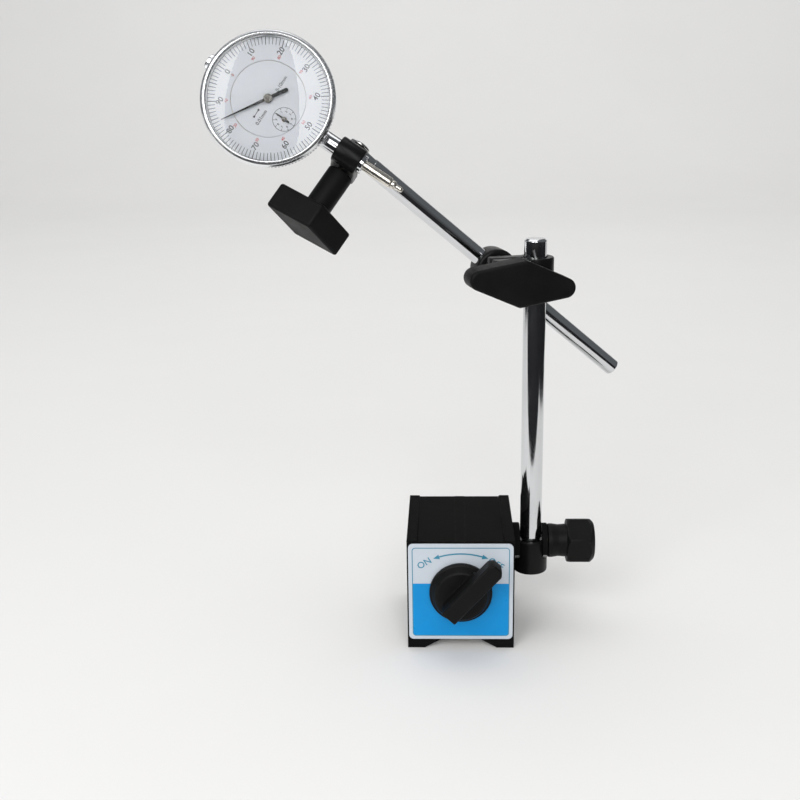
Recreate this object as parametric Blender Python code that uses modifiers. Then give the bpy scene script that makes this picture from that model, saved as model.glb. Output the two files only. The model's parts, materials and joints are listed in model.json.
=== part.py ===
"""Dial indicator on a switchable magnetic base, built as separate pieces.

Units are metres, +Z is up and the stand faces -Y. Each moving piece hangs on
an empty that lies on its joint axis, so the empties form the real chain:
base, post, clamp, eye, rod, dial clamp, dial.
"""
import math

import bmesh
import bpy
from mathutils import Matrix, Vector

MM = 0.001

# General fits and mesh settings
GAP = 0.3 * MM
OVER = 1.0 * MM
WELD = 0.001 * MM
MERGE = 0.005 * MM
ROUND = 24
SMALL_ROUND = 12
FINE_ROUND = 36
TINY_ROUND = 8
EDGE_STEPS = 3
CROWN_STEPS = 4
ARC_STEP = math.radians(20)
SHARP_ANGLE = math.radians(50)
TIGHT_GAP = 0.15 * MM
FINE_GAP = 0.1 * MM

# Magnetic base
BASE_WIDTH = 50 * MM
BASE_DEPTH = 60 * MM
BASE_HEIGHT = 55 * MM
FOOT_WIDTH = 8 * MM
GROOVE_ANGLE = 30
TOP_LIP = 5 * MM
TOP_RELIEF = 0.6 * MM
BASE_EDGE = 1.0 * MM
STRIP_WIDTH = 4 * MM
PLATE_THICKNESS = 1.0 * MM
PLATE_MARGIN = 0.7 * MM
PLATE_LOW = 5.3 * MM
PLATE_TOP_MARGIN = 1.3 * MM
PLATE_CORNER = 2.2 * MM

# Magnet switch
SWITCH_HEIGHT = 30 * MM
SWITCH_ANGLE = 42
ROTOR_RADIUS = 13.6 * MM
ROTOR_EDGE = 0.8 * MM
SHAFT_RADIUS = 4.0 * MM
DRIVE_SIZE = 5.2 * MM
DRIVE_LENGTH = 9.0 * MM
SWITCH_RADIUS = 14.6 * MM
SWITCH_FACE_RADIUS = 11.2 * MM
SWITCH_THICKNESS = 6.0 * MM
SWITCH_RIM = 2.0 * MM
BAR_WIDTH = 8 * MM
BAR_TAIL = 8.9 * MM
BAR_POINT = 24.9 * MM
BAR_POINT_FLAT = 4.5 * MM
BAR_POINT_SLOPE = 2.1 * MM
BAR_LOW = 5.0 * MM
BAR_TOP = 16.0 * MM
BAR_EDGE = 0.8 * MM
POINTER_ROOT = 13.5 * MM
POINTER_LIFT = 3.2 * MM

# Pivot of the post at the base's side
PIVOT_DEPTH = 4 * MM
PIVOT_HEIGHT = 41 * MM
STUD_RADIUS = 3.0 * MM
STUD_EMBED = 11 * MM
BOSS_RADIUS = 8.75 * MM
BOSS_LENGTH = 3.7 * MM
WASHER_RADIUS = 8.5 * MM
WASHER_THICKNESS = 2.4 * MM
INSERT_WALL = 1.6 * MM
INSERT_LENGTH = 15 * MM
NECK_RADIUS = 8.2 * MM
NECK_WAIST = 0.5 * MM
NECK_LENGTH = 9.0 * MM
HEX_RADIUS = 11.7 * MM
HEX_LENGTH = 13.4 * MM
HEX_TURN = 9
HEX_EDGE = 0.7 * MM
HEX_CROWN = 3.3 * MM

# Post
POST_RADIUS = 5.2 * MM
POST_LENGTH = 160 * MM
POST_DROP = 12 * MM
POST_CHAMFER = 1.0 * MM
SOCKET_WALL = 2.7 * MM
SOCKET_FLOOR = 2.7 * MM
SOCKET_RISE = 1.5 * MM
SOCKET_CHAMFER = 1.0 * MM

# Clamp between post and cross rod
CLAMP_BELOW_TOP = 16.31 * MM
CLAMP_YAW = 15.6
CLAMP_HEIGHT = 16 * MM
SLEEVE_WALL = 3.0 * MM
EAR_HALF = 7.0 * MM
EAR_END = 7.5 * MM
CLAMP_SLIT = 1.6 * MM
CLAMP_EDGE = 0.6 * MM
EYE_SHANK_RADIUS = 3.0 * MM
EYE_SHANK_WALL = 1.7 * MM
EYE_SHANK_EDGE = 0.5 * MM
EYE_RADIUS = 9.8 * MM
EYE_WALL = 2.2 * MM
EYE_EDGE = 1.5 * MM
SPACER_LENGTH = 5.9 * MM
SPACER_RADIUS = 7.0 * MM
ARM_KNOB_NECK = 4.4 * MM
ARM_KNOB_NECK_RADIUS = 6.5 * MM
ARM_KNOB_THICKNESS = 12 * MM
ARM_KNOB_LENGTH = 49 * MM
ARM_KNOB_WIDTH = 21 * MM
ARM_KNOB_TIP = 4.5 * MM
ARM_KNOB_SIDE = 2.5 * MM
ARM_KNOB_TURN = -8
ARM_KNOB_COVER = 2.5 * MM
KNOB_EDGE = 1.0 * MM

# Cross rod
ROD_RADIUS = 4.0 * MM
ROD_SLOPE = 40.59
ROD_ROLL = 14.1
ROD_REACH = 85.1 * MM
ROD_TAIL = 82 * MM
ROD_CHAMFER = 0.7 * MM
TONGUE_THICKNESS = 5.0 * MM
TONGUE_RADIUS = 4.8 * MM
TONGUE_OVERLAP = 3.0 * MM

# Clamp between cross rod and indicator
DIAL_SWING = 19.65
SWING_CLEARANCE = 0.3 * MM
STEM_CLAMP_WIDTH = 12 * MM
LOOP_WALL = 1.6 * MM
UPPER_EAR = 2.6 * MM
LOOP_STEP = 0.5 * MM
STEM_SLIT = 1.2 * MM
DIAL_BOLT_RADIUS = 2.5 * MM
BOLT_HEAD_RADIUS = 5.0 * MM
BOLT_HEAD_HEIGHT = 1.3 * MM
BOLT_HEAD_EDGE = 0.4 * MM
DIAL_KNOB_NECK = 19.4 * MM
DIAL_KNOB_NECK_RADIUS = 6.0 * MM
DIAL_KNOB_THICKNESS = 11.9 * MM
DIAL_KNOB_LENGTH = 37.3 * MM
DIAL_KNOB_WIDTH = 26.5 * MM
DIAL_KNOB_TIP = 1.5 * MM
DIAL_KNOB_SIDE = 1.5 * MM
DIAL_KNOB_TURN = -14
DIAL_INSERT_LENGTH = 15 * MM

# Indicator body
STEM_REACH = 40.93 * MM
DIAL_ROLL = 12.03
CASE_RADIUS = 26.5 * MM
CASE_WALL = 2.0 * MM
CASE_LEDGE = 2.0 * MM
CASE_BACK = 8.0 * MM
CASE_FLOOR = 2.0 * MM
CASE_OPENING_RADIUS = 19 * MM
COVER_THICKNESS = 1.7 * MM
COVER_INSET = 0.4 * MM
COVER_EDGE = 0.7 * MM
SCREW_CIRCLE = 20.8 * MM
SCREW_RADIUS = 0.9 * MM
SCREW_LENGTH = 3.6 * MM
SCREW_HEAD_RADIUS = 1.9 * MM
SCREW_HEAD_HEIGHT = 1.0 * MM
SCREW_SLOT = 0.5 * MM
SCREW_COUNT = 4

# Bezel, crystal and dial faces, heights counted from the plunger axis
STEM_RADIUS = 4.0 * MM
BEZEL_CLEARANCE = 0.5 * MM
BEZEL_RADIUS = 29 * MM
BEZEL_OVERLAP = 1.5 * MM
HAND_CLEARANCE = 0.4 * MM
BEZEL_CROWN = 1.4 * MM
BEZEL_OPENING = 26.6 * MM
BEZEL_LIP = 0.6 * MM
BEZEL_SHELF = 0.6 * MM
BEZEL_SHELF_WIDTH = 1.9 * MM
BEZEL_WALL = 1.7 * MM
CRYSTAL_THICKNESS = 0.9 * MM
FACE_THICKNESS = 0.5 * MM
CENTRE_DISC_RADIUS = 16 * MM
FOOT_RADIUS = 1.0 * MM

# Stem, plunger and its guide
STEM_LENGTH = 21.8 * MM
STEM_CHAMFER = 0.5 * MM
SPIGOT_WALL = 0.6 * MM
BUSH_RADIUS = 3.4 * MM
BUSH_LENGTH = 2.4 * MM
PLUNGER_RADIUS = 2.3 * MM
PLUNGER_REST = 13.9 * MM
PLUNGER_TRAVEL = 10 * MM
PLUNGER_CHAMFER = 0.4 * MM
CAP_RADIUS = 3.8 * MM
CAP_LENGTH = 2.6 * MM
CAP_FLOOR = 0.8 * MM
PLUNGER_TENON = 1.4 * MM
CONTACT_LENGTH = 6.0 * MM
CONTACT_RADIUS = 1.2 * MM
CONTACT_SHOULDER = 1.9 * MM
CONTACT_THREAD = 1.1 * MM
CONTACT_EMBED = 3.0 * MM
PIN_RADIUS = 0.6 * MM
PIN_PLACE = 8.0 * MM
FORK_THICKNESS = 0.8 * MM
FORK_PRONG = 2.0 * MM
SPRING_WIRE = 0.25 * MM
SPRING_RADIUS = 1.1 * MM
SPRING_TURNS = 8
SPRING_POINTS = 8
SPRING_DROP = 4.2 * MM
ANCHOR_RADIUS = 0.8 * MM
ANCHOR_PLACE = 20.5 * MM
ANCHOR_HEIGHT = 2.8 * MM

# Movement
RACK_TEETH = 16
RACK_LEAD = 2.5
RACK_SPARE = 4
WHEEL_TEETH = 80
CENTRE_TEETH = 8
HAIR_TEETH = 32
GEAR_MODULE = 0.25 * MM
ADDENDUM = 0.6
DEDENDUM = 1.3
ROOT_SHARE = 0.24
TIP_SHARE = 0.13
WHEEL_TIP_SHARE = 0.05
WHEEL_ROOT_SHARE = 0.5
RACK_HALF_WIDTH = 1.2 * MM
PINION_HALF_WIDTH = 0.9 * MM
COUNTER_OFFSET = 3.45 * MM
HAIR_DIRECTION = 200
MOVEMENT_PLATE = 0.8 * MM
PLATE_LIFT = 0.4 * MM
WHEEL_THICKNESS = 0.7 * MM
WHEEL_LIFT = 0.4 * MM
BRIDGE_LIFT = 0.6 * MM
BRIDGE_THICKNESS = 0.7 * MM
BRIDGE_BORDER = 2.6 * MM
PILLAR_RADIUS = 1.6 * MM
PILLAR_LEFT = (-8.0 * MM, 8.0 * MM)
PILLAR_RIGHT = (-3.0 * MM, -13.0 * MM)
PILLAR_FAR = (21.5 * MM, 2.0 * MM)
ARBOR_RADIUS = 0.8 * MM
PIVOT_RADIUS = 0.5 * MM
COLLAR_RADIUS = 1.8 * MM
COUNTER_HAND_LIFT = 0.3 * MM
MAIN_HAND_LIFT = 1.0 * MM
COUNTER_HAND_THICKNESS = 0.3 * MM
MAIN_HAND_THICKNESS = 0.4 * MM
HAND_EYE_RADIUS = 1.52 * MM
MAIN_HAND_LENGTH = 22 * MM
MAIN_HAND_TAIL = 9.4 * MM
MAIN_HAND_ANGLE = 237.5
COUNTER_HAND_HUB = 1.2 * MM
COUNTER_HAND_LENGTH = 4.4 * MM
COUNTER_HAND_TAIL = 2.6 * MM
COUNTER_HAND_ANGLE = 177.5
HAND_TIP = 0.12 * MM
HAND_TAIL_RADIUS = 0.9 * MM

# Sizes that follow from the ones above
CLAMP_RISE = POST_LENGTH - POST_DROP - CLAMP_BELOW_TOP
POST_OFFSET = BOSS_LENGTH + 2 * GAP + POST_RADIUS
WASHER_START = POST_OFFSET + POST_RADIUS + GAP
BASE_KNOB_START = WASHER_START + WASHER_THICKNESS + GAP
SOCKET_BORE = POST_RADIUS + GAP
SOCKET_RADIUS = SOCKET_BORE + SOCKET_WALL
SLEEVE_BORE = POST_RADIUS + GAP
SLEEVE_RADIUS = SLEEVE_BORE + SLEEVE_WALL
EYE_HALF = ROD_RADIUS + GAP + EYE_WALL
BOLT_OFFSET = SLEEVE_RADIUS + GAP + EYE_SHANK_RADIUS + EYE_SHANK_WALL
EYE_SETBACK = EAR_HALF + GAP + SPACER_LENGTH + GAP + EYE_HALF
LOOP_RADIUS = STEM_RADIUS + GAP + LOOP_WALL
STEM_OFFSET = LOOP_RADIUS + TONGUE_RADIUS + SWING_CLEARANCE
EAR_TOP = TONGUE_THICKNESS / 2 + GAP
STEM_DROP = EAR_TOP + UPPER_EAR + STEM_SLIT / 2
EAR_BOTTOM = STEM_DROP + LOOP_RADIUS - LOOP_STEP
EAR_RADIUS = STEM_CLAMP_WIDTH / 2
TONGUE_ROOT = math.hypot(EAR_RADIUS, EAR_RADIUS) + SWING_CLEARANCE
STEM_START = CASE_RADIUS + GAP
STEM_END = STEM_START + STEM_LENGTH
PLUNGER_BORE = PLUNGER_RADIUS + GAP
SPIGOT_RADIUS = PLUNGER_BORE + SPIGOT_WALL
PLUNGER_END = STEM_END + PLUNGER_REST
BEZEL_BACK = STEM_RADIUS + BEZEL_CLEARANCE
CASE_FRONT = BEZEL_BACK + BEZEL_OVERLAP
SHELF_BACK = CASE_FRONT + GAP
SHELF_FRONT = SHELF_BACK + BEZEL_SHELF
FACE_BACK = SHELF_FRONT + GAP
FACE_FRONT = FACE_BACK + FACE_THICKNESS
BEZEL_BORE = BEZEL_RADIUS - BEZEL_WALL
CRYSTAL_RADIUS = BEZEL_BORE - GAP
CASE_BORE = CASE_RADIUS - CASE_WALL
LEDGE_RADIUS = CASE_BORE - CASE_LEDGE
FLOOR_FRONT = CASE_FLOOR - CASE_BACK
COVER_FRONT = -CASE_BACK - GAP
COVER_BACK = COVER_FRONT - COVER_THICKNESS
PLATE_BACK = PLUNGER_RADIUS + PLATE_LIFT
PLATE_FRONT = PLATE_BACK + MOVEMENT_PLATE
WHEEL_BACK = PLATE_FRONT + WHEEL_LIFT
WHEEL_FRONT = WHEEL_BACK + WHEEL_THICKNESS
BRIDGE_BACK = WHEEL_FRONT + BRIDGE_LIFT
BRIDGE_FRONT = BRIDGE_BACK + BRIDGE_THICKNESS
COUNTER_HAND_BACK = FACE_FRONT + COUNTER_HAND_LIFT
MAIN_HAND_BACK = FACE_FRONT + MAIN_HAND_LIFT
MAIN_HAND_FRONT = MAIN_HAND_BACK + MAIN_HAND_THICKNESS
CRYSTAL_FRONT = MAIN_HAND_FRONT + HAND_CLEARANCE + CRYSTAL_THICKNESS
BEZEL_FRONT = CRYSTAL_FRONT + GAP + BEZEL_LIP
RACK_PINION_RADIUS = PLUNGER_TRAVEL / (2 * math.pi)
RACK_PITCH = PLUNGER_TRAVEL / RACK_TEETH
RACK_MODULE = RACK_PITCH / math.pi
RACK_LINE = COUNTER_OFFSET - RACK_PINION_RADIUS
CENTRE_DISTANCE = GEAR_MODULE * (WHEEL_TEETH + CENTRE_TEETH) / 2
HAIR_DISTANCE = GEAR_MODULE * (HAIR_TEETH + CENTRE_TEETH) / 2
COUNTER_ALONG = math.sqrt(CENTRE_DISTANCE ** 2 - COUNTER_OFFSET ** 2)
COUNTER = Vector((COUNTER_ALONG, -COUNTER_OFFSET, 0))
HAIR_TURN = math.radians(HAIR_DIRECTION)
HAIR = Vector((math.cos(HAIR_TURN), math.sin(HAIR_TURN), 0)) * HAIR_DISTANCE
PILLARS = [Vector((*place, 0.0)) for place in (PILLAR_RIGHT, PILLAR_FAR, PILLAR_LEFT)]

# Colour, roughness and metallic value of each finish
FINISHES = {
    "black_paint": ((0.012, 0.012, 0.013), 0.42, 0.0),
    "black_plastic": ((0.014, 0.014, 0.015), 0.36, 0.0),
    "blackened_steel": ((0.02, 0.02, 0.022), 0.38, 0.6),
    "chrome": ((0.72, 0.73, 0.75), 0.12, 1.0),
    "satin_chrome": ((0.62, 0.63, 0.65), 0.3, 1.0),
    "steel": ((0.5, 0.5, 0.51), 0.35, 1.0),
    "brass": ((0.72, 0.52, 0.2), 0.3, 1.0),
    "label_blue": ((0.04, 0.45, 0.72), 0.4, 0.0),
    "dial_white": ((0.86, 0.86, 0.84), 0.5, 0.0),
    "hand_black": ((0.02, 0.02, 0.02), 0.4, 0.0),
    "magnet": ((0.16, 0.16, 0.17), 0.5, 0.4),
    "crystal": ((0.9, 0.93, 0.95), 0.05, 0.0),
}


def shift(x=0.0, y=0.0, z=0.0):
    return Matrix.Translation((x, y, z))


def turn(axis, degrees):
    return Matrix.Rotation(math.radians(degrees), 4, axis)


# Axes of turned and extruded pieces: their own +Z laid along the named direction
TO_FRONT = turn("X", 90)
TO_RIGHT = turn("Y", 90)
TO_LEFT = turn("Y", -90)
FLIPPED = turn("X", 180)
UPRIGHT = Matrix.Identity(4)

for old in list(bpy.data.objects):
    bpy.data.objects.remove(old, do_unlink=True)

PARTS = bpy.data.collections.new("dial_indicator_stand")
CUTTERS = bpy.data.collections.new("cutters")
bpy.context.scene.collection.children.link(PARTS)
bpy.context.scene.collection.children.link(CUTTERS)


def add_object(name, data, parent, matrix, finish):
    """Link a piece with its own material, or a tool when it has no finish."""
    obj = bpy.data.objects.new(name, data)
    obj.parent = parent
    obj.matrix_basis = matrix
    if finish is None:
        CUTTERS.objects.link(obj)
        obj.hide_render = True
        obj.display_type = "WIRE"
        return obj
    PARTS.objects.link(obj)
    colour, roughness, metallic = FINISHES[finish]
    material = bpy.data.materials.new(name)
    material.use_nodes = True
    shader = material.node_tree.nodes["Principled BSDF"]
    shader.inputs["Base Color"].default_value = (*colour, 1.0)
    shader.inputs["Roughness"].default_value = roughness
    shader.inputs["Metallic"].default_value = metallic
    data.materials.append(material)
    return obj


def add_frame(name, parent, matrix):
    empty = bpy.data.objects.new(name, None)
    empty.parent = parent
    empty.matrix_basis = matrix
    PARTS.objects.link(empty)
    return empty


def turned(name, parent, profile, finish, matrix=UPRIGHT, closed=False, steps=ROUND):
    """Turn a profile of (radius, height) points round the local Z axis."""
    mesh = bpy.data.meshes.new(name)
    points = [(radius, 0.0, height) for radius, height in profile]
    edges = [(index, index + 1) for index in range(len(points) - 1)]
    if closed:
        edges.append((len(points) - 1, 0))
    mesh.from_pydata(points, edges, [])
    obj = add_object(name, mesh, parent, matrix, finish)
    screw = obj.modifiers.new("Turn", "SCREW")
    screw.steps = steps
    screw.render_steps = steps
    screw.use_merge_vertices = True
    screw.merge_threshold = MERGE
    screw.use_smooth_shade = True
    return obj


def rod_profile(radius, top, bottom, top_edge=0.0, bottom_edge=0.0):
    """Profile of a plain round bar with a chamfer at either end."""
    profile = [(0.0, top), (radius - top_edge, top)]
    if top_edge:
        profile.append((radius, top - top_edge))
    if bottom_edge:
        profile.append((radius, bottom + bottom_edge))
    profile += [(radius - bottom_edge, bottom), (0.0, bottom)]
    return profile


def ring_profile(outer, inner, top, bottom, edge=0.0):
    """Closed profile of a plain ring with chamfered outer edges."""
    if not edge:
        return [(inner, top), (outer, top), (outer, bottom), (inner, bottom)]
    return [(inner, top), (outer - edge, top), (outer, top - edge), (outer, bottom + edge),
            (outer - edge, bottom), (inner, bottom)]


def arc(x, y, radius, start, end, count):
    """Points on a circle from one angle to another, both in radians."""
    angles = [start + (end - start) * index / count for index in range(count + 1)]
    return [(x + radius * math.cos(angle), y + radius * math.sin(angle)) for angle in angles]


def circle(x, y, radius, count=SMALL_ROUND):
    return arc(x, y, radius, 0.0, 2 * math.pi, count)[:-1]


def belt(circles):
    """Outline of a belt drawn tight round circles named in anticlockwise order."""
    normals = []
    for index, (x, y, radius) in enumerate(circles):
        far_x, far_y, far_radius = circles[(index + 1) % len(circles)]
        span = math.hypot(far_x - x, far_y - y)
        heading = math.atan2(far_y - y, far_x - x)
        normals.append(heading - math.acos((radius - far_radius) / span))
    outline = []
    for index, (x, y, radius) in enumerate(circles):
        start = normals[index - 1]
        sweep = (normals[index] - start) % (2 * math.pi)
        count = max(1, math.ceil(sweep / ARC_STEP))
        outline += arc(x, y, radius, start, start + sweep, count)
    return outline


def rounded_box(width, height, radius):
    """Rectangle outline with round corners, centred on the origin."""
    x = width / 2 - radius
    y = height / 2 - radius
    return belt([(-x, -y, radius), (x, -y, radius), (x, y, radius), (-x, y, radius)])


def extruded(name, parent, loops, thickness, finish, matrix=UPRIGHT, edge=0.0, segments=2):
    """Solid of a flat outline, the first loop outside and the others holes."""
    curve = bpy.data.curves.new(name, "CURVE")
    curve.dimensions = "2D"
    curve.fill_mode = "BOTH"
    curve.extrude = thickness / 2
    for loop in loops:
        spline = curve.splines.new("POLY")
        spline.points.add(len(loop) - 1)
        for point, (x, y) in zip(spline.points, loop):
            point.co = (x, y, 0.0, 1.0)
        spline.use_cyclic_u = True
    shape = bpy.data.objects.new(name + "_outline", curve)
    PARTS.objects.link(shape)
    graph = bpy.context.evaluated_depsgraph_get()
    mesh = bpy.data.meshes.new_from_object(shape.evaluated_get(graph))
    bpy.data.objects.remove(shape, do_unlink=True)
    work = bmesh.new()
    work.from_mesh(mesh)
    bmesh.ops.remove_doubles(work, verts=work.verts, dist=WELD)
    bmesh.ops.recalc_face_normals(work, faces=work.faces)
    work.to_mesh(mesh)
    work.free()
    obj = add_object(name, mesh, parent, matrix, finish)
    if edge:
        bevel = obj.modifiers.new("Edge", "BEVEL")
        bevel.width = edge
        bevel.segments = segments
        bevel.limit_method = "ANGLE"
        bevel.angle_limit = SHARP_ANGLE
    return obj


def block(name, parent, size, centre, finish):
    """Plain box with its size applied in the mesh."""
    mesh = bpy.data.meshes.new(name)
    work = bmesh.new()
    bmesh.ops.create_cube(work, size=1.0, matrix=Matrix.Diagonal((*size, 1.0)))
    work.to_mesh(mesh)
    work.free()
    return add_object(name, mesh, parent, shift(*centre), finish)


def drill(target, parent, radius, start, end, matrix=UPRIGHT, steps=SMALL_ROUND):
    """Bore a round hole along the matrix's Z axis from one height to another."""
    profile = rod_profile(radius, end, start)
    tool = turned(target.name + "_drill", parent, profile, None, matrix, steps=steps)
    combine(target, tool, "DIFFERENCE")


def mill(target, parent, size, centre):
    """Cut a box-shaped pocket or slit."""
    combine(target, block(target.name + "_mill", parent, size, centre, None), "DIFFERENCE")


def combine(target, tool, operation):
    boolean = target.modifiers.new("Shape", "BOOLEAN")
    boolean.object = tool
    boolean.operation = operation
    boolean.solver = "EXACT"


def gear_outline(teeth, module, phase=0.0):
    """Outline of a spur wheel, one tooth centred on the phase angle; large wheels get V-shaped gaps."""
    pitch_radius = module * teeth / 2
    tip_radius = pitch_radius + ADDENDUM * module
    root_radius = pitch_radius - DEDENDUM * module
    step = 2 * math.pi / teeth
    corners = [(root_radius, -ROOT_SHARE), (tip_radius, -TIP_SHARE), (tip_radius, TIP_SHARE),
               (root_radius, ROOT_SHARE)]
    if teeth > RACK_TEETH:
        corners = [(root_radius, -WHEEL_ROOT_SHARE), (tip_radius, -WHEEL_TIP_SHARE),
                   (tip_radius, WHEEL_TIP_SHARE)]
    outline = []
    for index in range(teeth):
        for radius, share in corners:
            angle = phase + (index + share) * step
            outline.append((radius * math.cos(angle), radius * math.sin(angle)))
    return outline


def lozenge(length, width, tip, side):
    """Outline of a hand knob: a belt round two long tips and two short sides."""
    far = length / 2 - tip
    near = width / 2 - side
    return belt([(far, 0.0, tip), (0.0, near, side), (-far, 0.0, tip), (0.0, -near, side)])


ROOT = add_frame("stand", None, UPRIGHT)

# Base: two pole blocks with brass strips between them, split along the middle
BLOCK_FRONT = -BASE_DEPTH / 2 + PLATE_THICKNESS + GAP
BLOCK_BACK = BASE_DEPTH / 2 - PLATE_THICKNESS - GAP
BLOCK_DEPTH = BLOCK_BACK - BLOCK_FRONT
POLE_FACE = STRIP_WIDTH / 2 + GAP
FOOT_INNER = BASE_WIDTH / 2 - FOOT_WIDTH
GROOVE_SLOPE = math.tan(math.radians(GROOVE_ANGLE))
GROOVE_HEIGHT = (FOOT_INNER - POLE_FACE) * GROOVE_SLOPE
ROTOR_BORE = ROTOR_RADIUS + GAP


def pole_outline(side):
    """Cross section of one pole block, seen from the front."""
    edge = BASE_WIDTH / 2 - BASE_EDGE
    right_angle = math.pi / 2
    points = [(POLE_FACE, GROOVE_HEIGHT), (FOOT_INNER, 0.0)]
    points += arc(edge, BASE_EDGE, BASE_EDGE, -right_angle, 0.0, EDGE_STEPS)
    points += arc(edge, BASE_HEIGHT - BASE_EDGE, BASE_EDGE, 0.0, right_angle, EDGE_STEPS)
    points += [(BASE_WIDTH / 2 - TOP_LIP, BASE_HEIGHT), (POLE_FACE, BASE_HEIGHT - TOP_RELIEF)]
    return [(side * x, z) for x, z in points]


POLES = {}
for side_name, side in (("left", -1), ("right", 1)):
    outline = pole_outline(side)
    pole = extruded("pole_block_" + side_name, ROOT, [outline], BLOCK_DEPTH, "black_paint", TO_FRONT)
    drill(pole, ROOT, ROTOR_BORE, -BASE_DEPTH, BASE_DEPTH, shift(z=SWITCH_HEIGHT) @ TO_FRONT, ROUND)
    POLES[side_name] = pole

UPPER_STRIP = BASE_HEIGHT - TOP_RELIEF - SWITCH_HEIGHT - ROTOR_BORE
UPPER_MIDDLE = SWITCH_HEIGHT + ROTOR_BORE + UPPER_STRIP / 2
block("brass_strip_upper", ROOT, (STRIP_WIDTH, BLOCK_DEPTH, UPPER_STRIP), (0.0, 0.0, UPPER_MIDDLE),
      "brass")
LOWER_STRIP = SWITCH_HEIGHT - ROTOR_BORE - GROOVE_HEIGHT
LOWER_MIDDLE = GROOVE_HEIGHT + LOWER_STRIP / 2
block("brass_strip_lower", ROOT, (STRIP_WIDTH, BLOCK_DEPTH, LOWER_STRIP), (0.0, 0.0, LOWER_MIDDLE),
      "brass")

PLATE_WIDTH = BASE_WIDTH - 2 * PLATE_MARGIN
PLATE_HEIGHT = BASE_HEIGHT - PLATE_TOP_MARGIN - PLATE_LOW
PLATE_MIDDLE = PLATE_LOW + PLATE_HEIGHT / 2
PLATE_OUTLINE = rounded_box(PLATE_WIDTH, PLATE_HEIGHT, PLATE_CORNER)
PLATE_PLACE = (BASE_DEPTH - PLATE_THICKNESS) / 2
SHAFT_HOLE = circle(0.0, SWITCH_HEIGHT - PLATE_MIDDLE, SHAFT_RADIUS + GAP)
extruded("front_plate", ROOT, [PLATE_OUTLINE, SHAFT_HOLE], PLATE_THICKNESS, "label_blue",
         shift(y=-PLATE_PLACE, z=PLATE_MIDDLE) @ TO_FRONT)
extruded("rear_cover", ROOT, [PLATE_OUTLINE], PLATE_THICKNESS, "black_paint",
         shift(y=PLATE_PLACE, z=PLATE_MIDDLE) @ TO_FRONT)

# Magnet switch: knob, square-ended shaft and rotor turn together
SWITCH = add_frame("switch_axis", ROOT,
                   shift(y=-BASE_DEPTH / 2, z=SWITCH_HEIGHT) @ TO_FRONT @ turn("Z", -SWITCH_ANGLE))
ROTOR_FRONT = -PLATE_THICKNESS - 2 * GAP
ROTOR_BACK = PLATE_THICKNESS + 2 * GAP - BASE_DEPTH
DRIVE_HOLE = DRIVE_SIZE + 2 * GAP
rotor_profile = rod_profile(ROTOR_RADIUS, ROTOR_FRONT, ROTOR_BACK, ROTOR_EDGE, ROTOR_EDGE)
rotor = turned("magnet_rotor", SWITCH, rotor_profile, "magnet")
DRIVE_POCKET = DRIVE_LENGTH + GAP
mill(rotor, SWITCH, (DRIVE_HOLE, DRIVE_HOLE, 2 * DRIVE_POCKET), (0.0, 0.0, ROTOR_FRONT))
SHAFT_FRONT = 2 * GAP
SHAFT_BACK = ROTOR_FRONT + GAP
shaft = turned("switch_shaft", SWITCH, rod_profile(SHAFT_RADIUS, SHAFT_FRONT, SHAFT_BACK), "steel",
               steps=SMALL_ROUND)
TENON_FRONT = SWITCH_THICKNESS - SWITCH_RIM
TENON_BACK = ROTOR_FRONT - DRIVE_LENGTH
tenon = block("switch_tenon", SWITCH, (DRIVE_SIZE, DRIVE_SIZE, TENON_FRONT - TENON_BACK),
              (0.0, 0.0, (TENON_FRONT + TENON_BACK) / 2), None)
combine(shaft, tenon, "UNION")
knob_profile = [(0.0, SWITCH_THICKNESS), (SWITCH_FACE_RADIUS, SWITCH_THICKNESS),
                (SWITCH_RADIUS, GAP + SWITCH_RIM), (SWITCH_RADIUS, GAP), (0.0, GAP)]
switch_knob = turned("switch_knob", SWITCH, knob_profile, "black_plastic")
mill(switch_knob, SWITCH, (DRIVE_HOLE, DRIVE_HOLE, 2 * (TENON_FRONT + GAP)), (0.0, 0.0, 0.0))
drill(switch_knob, SWITCH, SHAFT_RADIUS + GAP, -OVER, SHAFT_FRONT + GAP)
HALF_BAR = BAR_WIDTH / 2
HALF_FLAT = BAR_POINT_FLAT / 2
BAR_SHOULDER = BAR_POINT - BAR_POINT_SLOPE
bar_outline = [(-HALF_BAR, -BAR_TAIL), (HALF_BAR, -BAR_TAIL), (HALF_BAR, BAR_SHOULDER),
               (HALF_FLAT, BAR_POINT), (-HALF_FLAT, BAR_POINT), (-HALF_BAR, BAR_SHOULDER)]
bar = extruded("switch_bar", SWITCH, [bar_outline], BAR_TOP - BAR_LOW, None,
               shift(z=(BAR_TOP + BAR_LOW) / 2), BAR_EDGE)
combine(switch_knob, bar, "UNION")
POINTER_REACH = BAR_POINT - POINTER_ROOT + OVER
mill(switch_knob, SWITCH, (2 * BAR_WIDTH, POINTER_REACH, POINTER_LIFT + OVER),
     (0.0, POINTER_ROOT + POINTER_REACH / 2, BAR_LOW + (POINTER_LIFT - OVER) / 2))

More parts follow.
